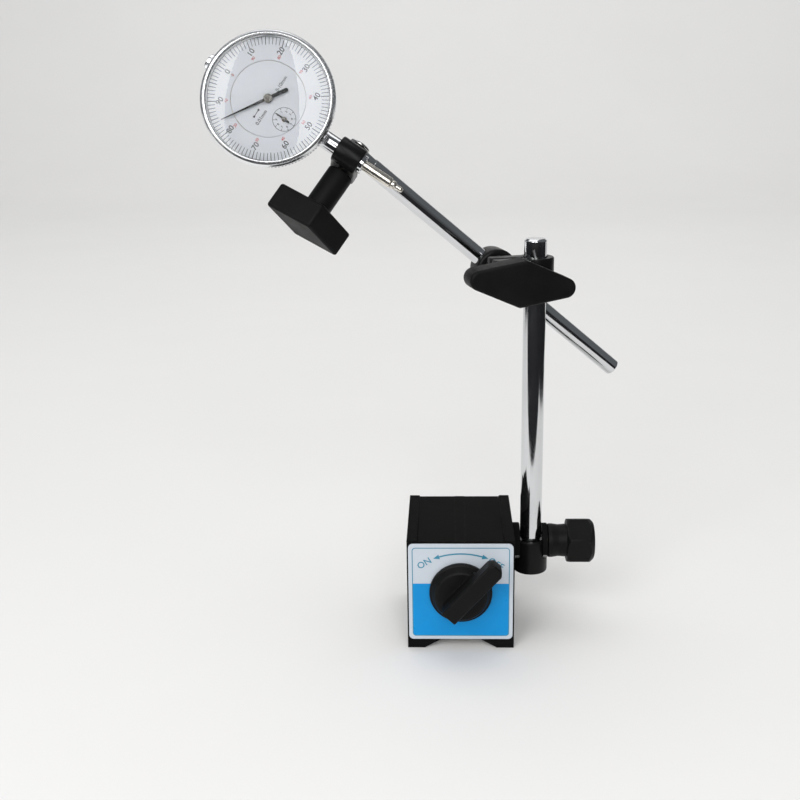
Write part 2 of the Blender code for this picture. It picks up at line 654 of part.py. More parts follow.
# Post pivot: everything on the stud's axis, heights counted from the base's side
PIVOT = add_frame("pivot_axis", ROOT,
                  shift(BASE_WIDTH / 2, PIVOT_DEPTH, PIVOT_HEIGHT) @ TO_RIGHT @ turn("Z", HEX_TURN))
STUD_HOLE = STUD_RADIUS + GAP
STUD_END = BASE_KNOB_START + INSERT_LENGTH - GAP
drill(POLES["right"], PIVOT, STUD_HOLE, -STUD_EMBED - GAP, OVER)
stud_profile = rod_profile(STUD_RADIUS, STUD_END, -STUD_EMBED, BASE_EDGE / 2, BASE_EDGE / 2)
turned("pivot_stud", PIVOT, stud_profile, "steel", steps=SMALL_ROUND)
turned("pivot_boss", PIVOT, ring_profile(BOSS_RADIUS, STUD_HOLE, GAP + BOSS_LENGTH, GAP, BASE_EDGE / 2),
       "blackened_steel", closed=True)
WASHER_END = WASHER_START + WASHER_THICKNESS
turned("pivot_washer", PIVOT, ring_profile(WASHER_RADIUS, STUD_HOLE, WASHER_END, WASHER_START),
       "blackened_steel", closed=True)
BASE_INSERT_RADIUS = STUD_HOLE + INSERT_WALL
turned("base_knob_insert", PIVOT,
       ring_profile(BASE_INSERT_RADIUS, STUD_HOLE, BASE_KNOB_START + INSERT_LENGTH, BASE_KNOB_START), "brass",
       closed=True, steps=SMALL_ROUND)
NECK_END = BASE_KNOB_START + NECK_LENGTH
HEX_END = NECK_END + HEX_LENGTH
HEX_CENTRE = HEX_RADIUS - HEX_EDGE
hex_corners = circle(0.0, 0.0, HEX_CENTRE, 6)
hex_outline = belt([(x, y, HEX_EDGE) for x, y in hex_corners])
base_knob = extruded("base_clamp_knob", PIVOT, [hex_outline], HEX_LENGTH, "black_plastic",
                     shift(z=(NECK_END + HEX_END) / 2))
CROWN_CENTRE = HEX_RADIUS - HEX_CROWN
dome_profile = [(0.0, HEX_END + WELD)]
dome_profile += arc(CROWN_CENTRE, HEX_END + WELD - HEX_CROWN, HEX_CROWN, math.pi / 2, 0.0, CROWN_STEPS)
dome_profile += [(HEX_RADIUS + OVER, NECK_END - OVER), (0.0, NECK_END - OVER)]
combine(base_knob, turned("base_knob_dome", PIVOT, dome_profile, None), "INTERSECT")
NECK_TOP = NECK_END + HEX_LENGTH / 2
neck_profile = [(0.0, NECK_TOP), (NECK_RADIUS, NECK_TOP), (NECK_RADIUS, NECK_END),
                (NECK_RADIUS - NECK_WAIST, NECK_END - NECK_LENGTH / 3),
                (NECK_RADIUS, BASE_KNOB_START + BASE_EDGE), (NECK_RADIUS - BASE_EDGE, BASE_KNOB_START),
                (0.0, BASE_KNOB_START)]
combine(base_knob, turned("base_knob_neck", PIVOT, neck_profile, None), "UNION")
drill(base_knob, PIVOT, BASE_INSERT_RADIUS + GAP, BASE_KNOB_START - OVER,
      BASE_KNOB_START + INSERT_LENGTH + GAP)

# Post: tilts about the stud
POST = add_frame("post_pivot", ROOT, shift(BASE_WIDTH / 2 + POST_OFFSET, PIVOT_DEPTH, PIVOT_HEIGHT))
post_profile = rod_profile(POST_RADIUS, POST_LENGTH - POST_DROP, -POST_DROP, POST_CHAMFER, POST_CHAMFER)
post = turned("post", POST, post_profile, "chrome")
drill(post, POST, STUD_HOLE, -2 * POST_RADIUS, 2 * POST_RADIUS, TO_RIGHT)
SOCKET_BOTTOM = -POST_DROP - GAP - SOCKET_FLOOR
socket_profile = [(0.0, -POST_DROP - GAP), (SOCKET_BORE, -POST_DROP - GAP), (SOCKET_BORE, SOCKET_RISE),
                  (SOCKET_RADIUS, SOCKET_RISE), (SOCKET_RADIUS, SOCKET_BOTTOM + SOCKET_CHAMFER),
                  (SOCKET_RADIUS - SOCKET_CHAMFER, SOCKET_BOTTOM), (0.0, SOCKET_BOTTOM)]
socket = turned("post_socket", POST, socket_profile, "black_paint")
drill(socket, POST, BOSS_RADIUS + GAP, -2 * SOCKET_RADIUS, -POST_RADIUS, TO_RIGHT, ROUND)
drill(socket, POST, BOSS_RADIUS + GAP, POST_RADIUS, 2 * SOCKET_RADIUS, TO_RIGHT, ROUND)
drill(socket, POST, STUD_HOLE, -2 * SOCKET_RADIUS, 2 * SOCKET_RADIUS, TO_RIGHT)


def split_clamp(name, parent, sizes, width, matrix):
    """Split ring with two ears towards -X, its slit open at the ears' far end."""
    bore, outer, upper, lower, far, slit = sizes
    half = slit / 2
    outline = [(-far, -half), (-far, -lower)]
    low_angle = math.asin(lower / outer) - math.pi
    high_angle = math.pi - math.asin(upper / outer)
    outline += arc(0.0, 0.0, outer, low_angle, high_angle, ROUND)
    outline += [(-far, upper), (-far, half)]
    spread = math.pi - math.asin(half / bore)
    outline += arc(0.0, 0.0, bore, spread, -spread, ROUND)
    return extruded(name, parent, [outline], width, "black_paint", matrix, CLAMP_EDGE, 1)


# Post clamp: a split sleeve whose ears are drawn together by the eye bolt
CLAMP = add_frame("post_clamp_slide", POST, shift(z=CLAMP_RISE) @ turn("Z", CLAMP_YAW))
clamp_sizes = (SLEEVE_BORE, SLEEVE_RADIUS, EAR_HALF, EAR_HALF, BOLT_OFFSET + EAR_END, CLAMP_SLIT)
post_clamp = split_clamp("post_clamp", CLAMP, clamp_sizes, CLAMP_HEIGHT, UPRIGHT)
BOLT_LINE = shift(x=-BOLT_OFFSET) @ TO_FRONT
drill(post_clamp, CLAMP, EYE_SHANK_RADIUS + GAP, -2 * EAR_HALF, 2 * EAR_HALF, BOLT_LINE)

# Eye bolt: turns about its shank, carries the rod and the large hand knob
EYE = add_frame("eye_bolt_axis", CLAMP, shift(-BOLT_OFFSET, EYE_SETBACK) @ turn("Y", ROD_SLOPE))
EAR_FRONT = EYE_SETBACK + EAR_HALF
KNOB_BACK = EAR_FRONT + GAP
KNOB_FRONT = KNOB_BACK + ARM_KNOB_NECK + ARM_KNOB_THICKNESS
SHANK_END = KNOB_FRONT - ARM_KNOB_COVER - GAP
eye_profile = [(0.0, SHANK_END), (EYE_SHANK_RADIUS - EYE_SHANK_EDGE, SHANK_END),
               (EYE_SHANK_RADIUS, SHANK_END - EYE_SHANK_EDGE), (EYE_SHANK_RADIUS, EYE_HALF),
               (EYE_RADIUS - EYE_EDGE, EYE_HALF), (EYE_RADIUS, EYE_HALF - EYE_EDGE),
               (EYE_RADIUS, EYE_EDGE - EYE_HALF), (EYE_RADIUS - EYE_EDGE, -EYE_HALF), (0.0, -EYE_HALF)]
eye_bolt = turned("eye_bolt", EYE, eye_profile, "black_paint", TO_FRONT)
drill(eye_bolt, EYE, ROD_RADIUS + GAP, -2 * EYE_RADIUS, 2 * EYE_RADIUS, TO_RIGHT, ROUND)
SHANK_HOLE = EYE_SHANK_RADIUS + GAP
SPACER_BACK = EYE_HALF + GAP
turned("eye_spacer", EYE, ring_profile(SPACER_RADIUS, SHANK_HOLE, SPACER_BACK + SPACER_LENGTH, SPACER_BACK),
       "blackened_steel", TO_FRONT, closed=True)

ARM_KNOB = add_frame("arm_knob_axis", CLAMP,
                     shift(-BOLT_OFFSET, EYE_SETBACK) @ TO_FRONT @ turn("Z", ARM_KNOB_TURN))
ARM_INSERT_RADIUS = SHANK_HOLE + INSERT_WALL
KNOB_NECK_END = KNOB_BACK + ARM_KNOB_NECK
ARM_OUTLINE = lozenge(ARM_KNOB_LENGTH, ARM_KNOB_WIDTH, ARM_KNOB_TIP, ARM_KNOB_SIDE)
arm_knob = extruded("arm_knob", ARM_KNOB, [ARM_OUTLINE], ARM_KNOB_THICKNESS, "black_plastic",
                    shift(z=KNOB_NECK_END + ARM_KNOB_THICKNESS / 2), KNOB_EDGE)
arm_neck_profile = rod_profile(ARM_KNOB_NECK_RADIUS, KNOB_NECK_END + OVER, KNOB_BACK)
arm_neck = turned("arm_knob_neck", ARM_KNOB, arm_neck_profile, None)
combine(arm_knob, arm_neck, "UNION")
ARM_INSERT_END = KNOB_FRONT - ARM_KNOB_COVER
drill(arm_knob, ARM_KNOB, ARM_INSERT_RADIUS + GAP, KNOB_BACK - OVER, ARM_INSERT_END + GAP)
turned("arm_knob_insert", ARM_KNOB, ring_profile(ARM_INSERT_RADIUS, SHANK_HOLE, ARM_INSERT_END, KNOB_BACK),
       "brass", closed=True, steps=SMALL_ROUND)

# Cross rod: slides through the eye, its upper end flattened and drilled
ROD = add_frame("rod_slide", EYE, turn("X", -ROD_ROLL))
ROD_START = TONGUE_ROOT - ROD_REACH
rod_outline = rod_profile(ROD_RADIUS, ROD_TAIL, ROD_START, ROD_CHAMFER, ROD_CHAMFER)
cross_rod = turned("cross_rod", ROD, rod_outline, "chrome", TO_RIGHT)
TONGUE_NARROW = ROD_RADIUS - ROD_CHAMFER
TONGUE_END = ROD_START + TONGUE_OVERLAP
tongue_outline = belt([(-ROD_REACH, 0.0, TONGUE_RADIUS), (TONGUE_END, 0.0, TONGUE_NARROW)])
tongue = extruded("rod_tongue", ROD, [tongue_outline], TONGUE_THICKNESS, None)
combine(cross_rod, tongue, "UNION")
DIAL_BOLT_HOLE = DIAL_BOLT_RADIUS + GAP
drill(cross_rod, ROD, DIAL_BOLT_HOLE, -TONGUE_THICKNESS, TONGUE_THICKNESS, shift(x=-ROD_REACH))

# Stem clamp: bolt head, rod tongue, split clamp and small hand knob stacked on one bolt
SWING = add_frame("dial_swing", ROD, shift(x=-ROD_REACH) @ turn("Z", -DIAL_SWING))
STEM_LINE = shift(y=-STEM_OFFSET, z=-STEM_DROP) @ turn("Z", -90) @ TO_FRONT
loop_sizes = (STEM_RADIUS + GAP, LOOP_RADIUS, UPPER_EAR + STEM_SLIT / 2, LOOP_RADIUS - LOOP_STEP,
              STEM_OFFSET + EAR_RADIUS, STEM_SLIT)
stem_clamp = split_clamp("stem_clamp", SWING, loop_sizes, STEM_CLAMP_WIDTH, STEM_LINE)
drill(stem_clamp, SWING, DIAL_BOLT_HOLE, -2 * EAR_BOTTOM, OVER)

DIAL_KNOB_BACK = EAR_BOTTOM + GAP
DIAL_BOLT_END = DIAL_KNOB_BACK + DIAL_INSERT_LENGTH
BOLT_TOP = EAR_TOP + BOLT_HEAD_HEIGHT
bolt_profile = [(0.0, BOLT_TOP), (BOLT_HEAD_RADIUS - BOLT_HEAD_EDGE, BOLT_TOP),
                (BOLT_HEAD_RADIUS, BOLT_TOP - BOLT_HEAD_EDGE), (BOLT_HEAD_RADIUS, EAR_TOP),
                (DIAL_BOLT_RADIUS, EAR_TOP), (DIAL_BOLT_RADIUS, -DIAL_BOLT_END), (0.0, -DIAL_BOLT_END)]
turned("dial_clamp_bolt", SWING, bolt_profile, "blackened_steel", steps=SMALL_ROUND)

DIAL_KNOB = add_frame("dial_knob_axis", SWING, FLIPPED @ turn("Z", DIAL_KNOB_TURN))
DIAL_NECK_END = DIAL_KNOB_BACK + DIAL_KNOB_NECK
DIAL_OUTLINE = lozenge(DIAL_KNOB_LENGTH, DIAL_KNOB_WIDTH, DIAL_KNOB_TIP, DIAL_KNOB_SIDE)
dial_knob = extruded("dial_knob", DIAL_KNOB, [DIAL_OUTLINE], DIAL_KNOB_THICKNESS, "black_plastic",
                     shift(z=DIAL_NECK_END + DIAL_KNOB_THICKNESS / 2), KNOB_EDGE)
neck_outline = rod_profile(DIAL_KNOB_NECK_RADIUS, DIAL_NECK_END + OVER, DIAL_KNOB_BACK, 0.0, CLAMP_EDGE)
dial_neck = turned("dial_knob_neck", DIAL_KNOB, neck_outline, None)
combine(dial_knob, dial_neck, "UNION")
DIAL_INSERT_RADIUS = DIAL_BOLT_HOLE + INSERT_WALL
DIAL_INSERT_END = DIAL_KNOB_BACK + DIAL_INSERT_LENGTH
drill(dial_knob, DIAL_KNOB, DIAL_INSERT_RADIUS + GAP, DIAL_KNOB_BACK - OVER, DIAL_INSERT_END + GAP)
dial_insert_profile = ring_profile(DIAL_INSERT_RADIUS, DIAL_BOLT_HOLE, DIAL_INSERT_END, DIAL_KNOB_BACK)
turned("dial_knob_insert", DIAL_KNOB, dial_insert_profile, "brass", closed=True, steps=SMALL_ROUND)

# Indicator: X towards the contact point, Z out of the dial's face
DIAL = add_frame("dial_roll", SWING,
                 shift(-STEM_REACH, -STEM_OFFSET, -STEM_DROP) @ turn("X", DIAL_ROLL) @ TO_FRONT)
LEDGE_FRONT = PLATE_BACK - GAP
case_profile = [(CASE_RADIUS, CASE_FRONT), (CASE_RADIUS, -CASE_BACK), (CASE_OPENING_RADIUS, -CASE_BACK),
                (CASE_OPENING_RADIUS, FLOOR_FRONT), (LEDGE_RADIUS, FLOOR_FRONT),
                (LEDGE_RADIUS, LEDGE_FRONT), (CASE_BORE, LEDGE_FRONT), (CASE_BORE, CASE_FRONT)]
case = turned("dial_case", DIAL, case_profile, "satin_chrome", closed=True)
anchor_profile = rod_profile(ANCHOR_RADIUS, FLOOR_FRONT + ANCHOR_HEIGHT, FLOOR_FRONT - CASE_FLOOR / 2)
anchor = turned("spring_anchor", DIAL, anchor_profile, None, shift(x=ANCHOR_PLACE), steps=SMALL_ROUND)
combine(case, anchor, "UNION")
drill(case, DIAL, SPIGOT_RADIUS + GAP, LEDGE_RADIUS - OVER, CASE_RADIUS + OVER, TO_RIGHT)
drill(case, DIAL, SPIGOT_RADIUS + GAP, LEDGE_RADIUS - OVER, CASE_RADIUS + OVER, TO_LEFT)
COVER_RADIUS = CASE_RADIUS - COVER_INSET
cover_profile = rod_profile(COVER_RADIUS, COVER_FRONT, COVER_BACK, 0.0, COVER_EDGE)
cover = turned("back_cover", DIAL, cover_profile, "satin_chrome")
SCREW_SEAT = COVER_BACK - GAP
SCREW_TIP = SCREW_SEAT + SCREW_LENGTH
SCREW_BACK = SCREW_SEAT - SCREW_HEAD_HEIGHT
screw_profile = [(0.0, SCREW_TIP), (SCREW_RADIUS, SCREW_TIP), (SCREW_RADIUS, SCREW_SEAT),
                 (SCREW_HEAD_RADIUS, SCREW_SEAT), (SCREW_HEAD_RADIUS, SCREW_BACK), (0.0, SCREW_BACK)]
for number in range(SCREW_COUNT):
    place = turn("Z", 360 * (number + 0.5) / SCREW_COUNT) @ shift(x=SCREW_CIRCLE)
    seat = add_frame("cover_screw_seat_%d" % (number + 1), DIAL, place)
    drill(case, seat, SCREW_RADIUS + GAP, -CASE_BACK - OVER, FLOOR_FRONT + OVER, steps=TINY_ROUND)
    drill(cover, seat, SCREW_RADIUS + GAP, COVER_BACK - OVER, COVER_FRONT + OVER, steps=TINY_ROUND)
    screw_body = turned("cover_screw_%d" % (number + 1), seat, screw_profile, "steel", steps=TINY_ROUND)
    mill(screw_body, seat, (4 * SCREW_HEAD_RADIUS, SCREW_SLOT, SCREW_HEAD_HEIGHT), (0.0, 0.0, SCREW_BACK))

SPIGOT_END = CASE_BORE
stem_profile = [(PLUNGER_BORE, STEM_END), (STEM_RADIUS - STEM_CHAMFER, STEM_END),
                (STEM_RADIUS, STEM_END - STEM_CHAMFER), (STEM_RADIUS, STEM_START),
                (SPIGOT_RADIUS, STEM_START), (SPIGOT_RADIUS, SPIGOT_END), (PLUNGER_BORE, SPIGOT_END)]
turned("stem", DIAL, stem_profile, "chrome", TO_RIGHT, closed=True)
BUSH_END = STEM_START + BUSH_LENGTH
bush_profile = [(PLUNGER_BORE, BUSH_END), (BUSH_RADIUS, BUSH_END), (BUSH_RADIUS, STEM_START),
                (SPIGOT_RADIUS, STEM_START), (SPIGOT_RADIUS, SPIGOT_END), (PLUNGER_BORE, SPIGOT_END)]
turned("upper_bush", DIAL, bush_profile, "chrome", TO_LEFT, closed=True)

# Plunger with its rack, guide pin, contact point and cap
PLUNGER = add_frame("plunger_slide", DIAL, UPRIGHT)
TENON_END = BUSH_END + GAP + CAP_LENGTH - CAP_FLOOR - GAP
plunger_profile = [(0.0, PLUNGER_END), (PLUNGER_RADIUS - PLUNGER_CHAMFER, PLUNGER_END),
                   (PLUNGER_RADIUS, PLUNGER_END - PLUNGER_CHAMFER), (PLUNGER_RADIUS, -BUSH_END),
                   (PLUNGER_TENON, -BUSH_END), (PLUNGER_TENON, -TENON_END), (0.0, -TENON_END)]
plunger = turned("plunger", PLUNGER, plunger_profile, "steel", TO_RIGHT, steps=SMALL_ROUND)


def rack_outline():
    """Space cut away beside the rack's teeth, with a gap opposite the pinion's tooth."""
    tip = RACK_LINE + ADDENDUM * RACK_MODULE
    root = RACK_LINE - DEDENDUM * RACK_MODULE
    half_root = RACK_PITCH * ROOT_SHARE
    half_tip = RACK_PITCH * TIP_SHARE
    count = RACK_TEETH + RACK_SPARE
    first = COUNTER_ALONG - RACK_LEAD * RACK_PITCH
    outline = [(first - RACK_PITCH, -root)]
    for index in range(count):
        middle = first + index * RACK_PITCH
        outline += [(middle - half_root, -root), (middle - half_tip, -tip), (middle + half_tip, -tip),
                    (middle + half_root, -root)]
    last = first + count * RACK_PITCH
    outline += [(last, -root), (last, -2 * PLUNGER_RADIUS), (first - RACK_PITCH, -2 * PLUNGER_RADIUS)]
    return outline


rack_space = extruded("rack_space", PLUNGER, [rack_outline()], 2 * RACK_HALF_WIDTH, None)
combine(plunger, rack_space, "DIFFERENCE")
PIN_HOLE = PIN_RADIUS + GAP
drill(plunger, PLUNGER, PIN_HOLE, -2 * PLUNGER_RADIUS, 2 * PLUNGER_RADIUS, shift(x=-PIN_PLACE), TINY_ROUND)
CONTACT_HOLE = CONTACT_THREAD + GAP
drill(plunger, PLUNGER, CONTACT_HOLE, PLUNGER_END - CONTACT_EMBED - GAP, PLUNGER_END + OVER, TO_RIGHT,
      TINY_ROUND)
FORK_BACK = FLOOR_FRONT + GAP
turned("guide_pin", PLUNGER, rod_profile(PIN_RADIUS, PLUNGER_RADIUS - GAP, FORK_BACK), "steel",
       shift(x=-PIN_PLACE), steps=TINY_ROUND)
CONTACT_START = PLUNGER_END + GAP
CONTACT_TIP = CONTACT_START + CONTACT_LENGTH
contact_profile = [(0.0, CONTACT_TIP)]
contact_profile += arc(0.0, CONTACT_TIP - CONTACT_RADIUS, CONTACT_RADIUS, math.pi / 3, 0.0, EDGE_STEPS)
contact_profile += [(CONTACT_RADIUS, CONTACT_START + CONTACT_LENGTH / 3),
                    (CONTACT_SHOULDER, CONTACT_START + OVER), (CONTACT_SHOULDER, CONTACT_START),
                    (CONTACT_THREAD, CONTACT_START),
                    (CONTACT_THREAD, PLUNGER_END - CONTACT_EMBED), (0.0, PLUNGER_END - CONTACT_EMBED)]
turned("contact_point", PLUNGER, contact_profile, "steel", TO_RIGHT, steps=SMALL_ROUND)
CAP_START = BUSH_END + GAP
CAP_END = CAP_START + CAP_LENGTH
CAP_HOLE = PLUNGER_TENON + GAP
cap_profile = [(0.0, CAP_END), (CAP_RADIUS - PLUNGER_CHAMFER, CAP_END),
               (CAP_RADIUS, CAP_END - PLUNGER_CHAMFER), (CAP_RADIUS, CAP_START), (CAP_HOLE, CAP_START),
               (CAP_HOLE, CAP_END - CAP_FLOOR),
               (0.0, CAP_END - CAP_FLOOR)]
turned("plunger_cap", PLUNGER, cap_profile, "satin_chrome", TO_LEFT, steps=SMALL_ROUND)

# Guide fork on the case floor and the return spring between pin and anchor
FORK_NEAR = -PIN_PLACE + PIN_RADIUS
FORK_FAR = GAP - LEDGE_RADIUS
SLOT_FAR = -PIN_PLACE - PLUNGER_TRAVEL - PIN_HOLE
PRONG_OUTER = PIN_HOLE + FORK_PRONG
fork_outline = [(FORK_NEAR, -PRONG_OUTER), (FORK_NEAR, -PIN_HOLE), (SLOT_FAR, -PIN_HOLE),
                (SLOT_FAR, PIN_HOLE), (FORK_NEAR, PIN_HOLE), (FORK_NEAR, PRONG_OUTER),
                (FORK_FAR + FORK_PRONG, PRONG_OUTER), (FORK_FAR + GAP, 0.0),
                (FORK_FAR + FORK_PRONG, -PRONG_OUTER)]
extruded("guide_fork", DIAL, [fork_outline], FORK_THICKNESS, "brass",
         shift(z=FORK_BACK + FORK_THICKNESS / 2))
SPRING_START = -PIN_PLACE + PIN_RADIUS + GAP + SPRING_WIRE
SPRING_END = ANCHOR_PLACE - ANCHOR_RADIUS - GAP - SPRING_WIRE


def return_spring():
    """Plain coil drawn as one bevelled line along the plunger's underside."""
    curve = bpy.data.curves.new("return_spring", "CURVE")
    curve.dimensions = "3D"
    curve.bevel_depth = SPRING_WIRE
    curve.bevel_resolution = 1
    curve.use_fill_caps = True
    count = SPRING_POINTS * SPRING_TURNS
    spline = curve.splines.new("POLY")
    spline.points.add(count)
    for index, point in enumerate(spline.points):
        angle = 2 * math.pi * index / SPRING_POINTS
        along = SPRING_START + (SPRING_END - SPRING_START) * index / count
        across = SPRING_RADIUS * math.sin(angle)
        height = -SPRING_DROP - SPRING_RADIUS * math.cos(angle)
        point.co = (along, across, height, 1.0)
    pitch = (SPRING_END - SPRING_START) / SPRING_TURNS
    print("return spring, least gap between coils in mm: %.2f" % ((pitch - 2 * SPRING_WIRE) / MM))
    add_object("return_spring", curve, DIAL, UPRIGHT, "steel")


return_spring()

# Movement plate and bridge with their pivot holes
ARBOR_HOLE = ARBOR_RADIUS + GAP
PIVOT_HOLE = PIVOT_RADIUS + GAP
PLATE_RADIUS = CASE_BORE - GAP
plate_loops = [circle(0.0, 0.0, PLATE_RADIUS, ROUND), circle(0.0, 0.0, PIVOT_HOLE, TINY_ROUND),
               circle(COUNTER.x, COUNTER.y, COLLAR_RADIUS + GAP),
               circle(HAIR.x, HAIR.y, PIVOT_HOLE, TINY_ROUND)]
extruded("movement_plate", DIAL, plate_loops, MOVEMENT_PLATE, "brass",
         shift(z=(PLATE_BACK + PLATE_FRONT) / 2))
bridge_loops = [belt([(spot.x, spot.y, BRIDGE_BORDER) for spot in PILLARS]),
                circle(0.0, 0.0, ARBOR_HOLE, TINY_ROUND),
                circle(COUNTER.x, COUNTER.y, ARBOR_HOLE, TINY_ROUND),
                circle(HAIR.x, HAIR.y, PIVOT_HOLE, TINY_ROUND)]
bridge = extruded("movement_bridge", DIAL, bridge_loops, BRIDGE_THICKNESS, "brass",
                  shift(z=(BRIDGE_BACK + BRIDGE_FRONT) / 2))
pillar_profile = rod_profile(PILLAR_RADIUS, BRIDGE_BACK + BRIDGE_THICKNESS / 2, PLATE_FRONT + GAP)
for spot in PILLARS:
    pillar = turned("bridge_pillar", DIAL, pillar_profile, None, shift(spot.x, spot.y), steps=SMALL_ROUND)
    combine(bridge, pillar, "UNION")
disc_loops = [circle(0.0, 0.0, CENTRE_DISC_RADIUS, ROUND), circle(0.0, 0.0, ARBOR_HOLE, TINY_ROUND),
              circle(COUNTER.x, COUNTER.y, ARBOR_HOLE, TINY_ROUND)]
disc = extruded("centre_disc", DIAL, disc_loops, FACE_THICKNESS, "dial_white",
                shift(z=(FACE_BACK + FACE_FRONT) / 2))
foot_profile = rod_profile(FOOT_RADIUS, FACE_BACK + FACE_THICKNESS / 2, BRIDGE_FRONT + GAP)
for x, y in (PILLAR_RIGHT, PILLAR_LEFT):
    foot = turned("disc_foot", DIAL, foot_profile, None, shift(x, y), steps=SMALL_ROUND)
    combine(disc, foot, "UNION")

# Bezel group: turns about the dial's axis with the crystal and the scale ring
BEZEL = add_frame("bezel_axis", DIAL, UPRIGHT)
CROWN_START = BEZEL_RADIUS - BEZEL_CROWN
CASE_CLEAR = CASE_RADIUS + GAP
bezel_profile = [(BEZEL_OPENING, BEZEL_FRONT)]
bezel_profile += arc(CROWN_START, BEZEL_FRONT - BEZEL_CROWN, BEZEL_CROWN, math.pi / 2, 0.0, EDGE_STEPS)
bezel_profile += [(BEZEL_RADIUS, BEZEL_BACK), (CASE_CLEAR, BEZEL_BACK), (CASE_CLEAR, SHELF_BACK),
                  (CASE_CLEAR - BEZEL_SHELF_WIDTH, SHELF_BACK), (CASE_CLEAR - BEZEL_SHELF_WIDTH, SHELF_FRONT),
                  (BEZEL_BORE, SHELF_FRONT), (BEZEL_BORE, BEZEL_FRONT - BEZEL_LIP),
                  (BEZEL_OPENING, BEZEL_FRONT - BEZEL_LIP)]
turned("bezel", BEZEL, bezel_profile, "chrome", closed=True, steps=FINE_ROUND)
CRYSTAL_BACK = CRYSTAL_FRONT - CRYSTAL_THICKNESS
crystal_profile = rod_profile(CRYSTAL_RADIUS, CRYSTAL_FRONT, CRYSTAL_BACK)
turned("crystal", BEZEL, crystal_profile, "crystal", steps=FINE_ROUND)
scale_profile = ring_profile(CRYSTAL_RADIUS, CENTRE_DISC_RADIUS + GAP, FACE_FRONT, FACE_BACK)
turned("scale_ring", BEZEL, scale_profile, "dial_white", closed=True, steps=FINE_ROUND)


def wheel(name, parent, arbor_profile, gears):
    """Arbor turned in one piece, with toothed wheels joined to it."""
    obj = turned(name, parent, arbor_profile, "brass", steps=TINY_ROUND)
    for teeth, module, back, front, phase in gears:
        disc_name = "%s_teeth_%d" % (name, teeth)
        outline = gear_outline(teeth, module, phase)
        tooth_disc = extruded(disc_name, parent, [outline], front - back, None, shift(z=(back + front) / 2))
        combine(obj, tooth_disc, "UNION")
    return obj


# Wheels: each has its own axis, the two hands sit on their arbors
COUNTER_BEARING = math.atan2(-COUNTER_OFFSET, COUNTER_ALONG)
MAIN = add_frame("main_hand_axis", DIAL, UPRIGHT)
ARBOR_LOW = WHEEL_BACK - TIGHT_GAP
centre_profile = [(0.0, MAIN_HAND_FRONT), (PIVOT_RADIUS, MAIN_HAND_FRONT),
                  (PIVOT_RADIUS, MAIN_HAND_BACK - GAP), (ARBOR_RADIUS, MAIN_HAND_BACK - GAP),
                  (ARBOR_RADIUS, ARBOR_LOW), (PIVOT_RADIUS, ARBOR_LOW), (PIVOT_RADIUS, PLATE_BACK),
                  (0.0, PLATE_BACK)]
CENTRE_PHASE = COUNTER_BEARING + math.pi / CENTRE_TEETH
wheel("centre_pinion", MAIN, centre_profile,
      [(CENTRE_TEETH, GEAR_MODULE, WHEEL_BACK - FINE_GAP, WHEEL_FRONT + FINE_GAP, CENTRE_PHASE)])

SMALL = add_frame("counter_axis", DIAL, shift(COUNTER.x, COUNTER.y))
COUNTER_TOP = COUNTER_HAND_BACK + COUNTER_HAND_THICKNESS
COLLAR_LOW = PLUNGER_RADIUS + FINE_GAP
COLLAR_TOP = WHEEL_FRONT + GAP
RACK_ARBOR_LOW = -PINION_HALF_WIDTH - GAP
rack_profile = [(0.0, COUNTER_TOP), (PIVOT_RADIUS, COUNTER_TOP), (PIVOT_RADIUS, COUNTER_HAND_BACK - GAP),
                (ARBOR_RADIUS, COUNTER_HAND_BACK - GAP), (ARBOR_RADIUS, COLLAR_TOP),
                (COLLAR_RADIUS, COLLAR_TOP), (COLLAR_RADIUS, COLLAR_LOW), (ARBOR_RADIUS, COLLAR_LOW),
                (ARBOR_RADIUS, RACK_ARBOR_LOW), (0.0, RACK_ARBOR_LOW)]
WHEEL_PHASE = COUNTER_BEARING + math.pi
wheel("rack_wheel", SMALL, rack_profile,
      [(WHEEL_TEETH, GEAR_MODULE, WHEEL_BACK, WHEEL_FRONT, WHEEL_PHASE),
       (RACK_TEETH, RACK_MODULE, -PINION_HALF_WIDTH, PINION_HALF_WIDTH, math.pi / 2)])

HAIR_AXIS = add_frame("hairspring_axis", DIAL, shift(HAIR.x, HAIR.y))
hair_profile = [(0.0, BRIDGE_FRONT), (PIVOT_RADIUS, BRIDGE_FRONT), (PIVOT_RADIUS, COLLAR_TOP),
                (ARBOR_RADIUS, COLLAR_TOP), (ARBOR_RADIUS, ARBOR_LOW), (PIVOT_RADIUS, ARBOR_LOW),
                (PIVOT_RADIUS, PLATE_BACK), (0.0, PLATE_BACK)]
HAIR_FACING = HAIR_TURN + math.pi
TOOTH_SEEN = (HAIR_TURN - CENTRE_PHASE) * CENTRE_TEETH / (2 * math.pi)
HAIR_PHASE = HAIR_FACING + (TOOTH_SEEN % 1.0 + 0.5) * 2 * math.pi / HAIR_TEETH
wheel("hairspring_wheel", HAIR_AXIS, hair_profile,
      [(HAIR_TEETH, GEAR_MODULE, WHEEL_BACK, WHEEL_FRONT, HAIR_PHASE)])

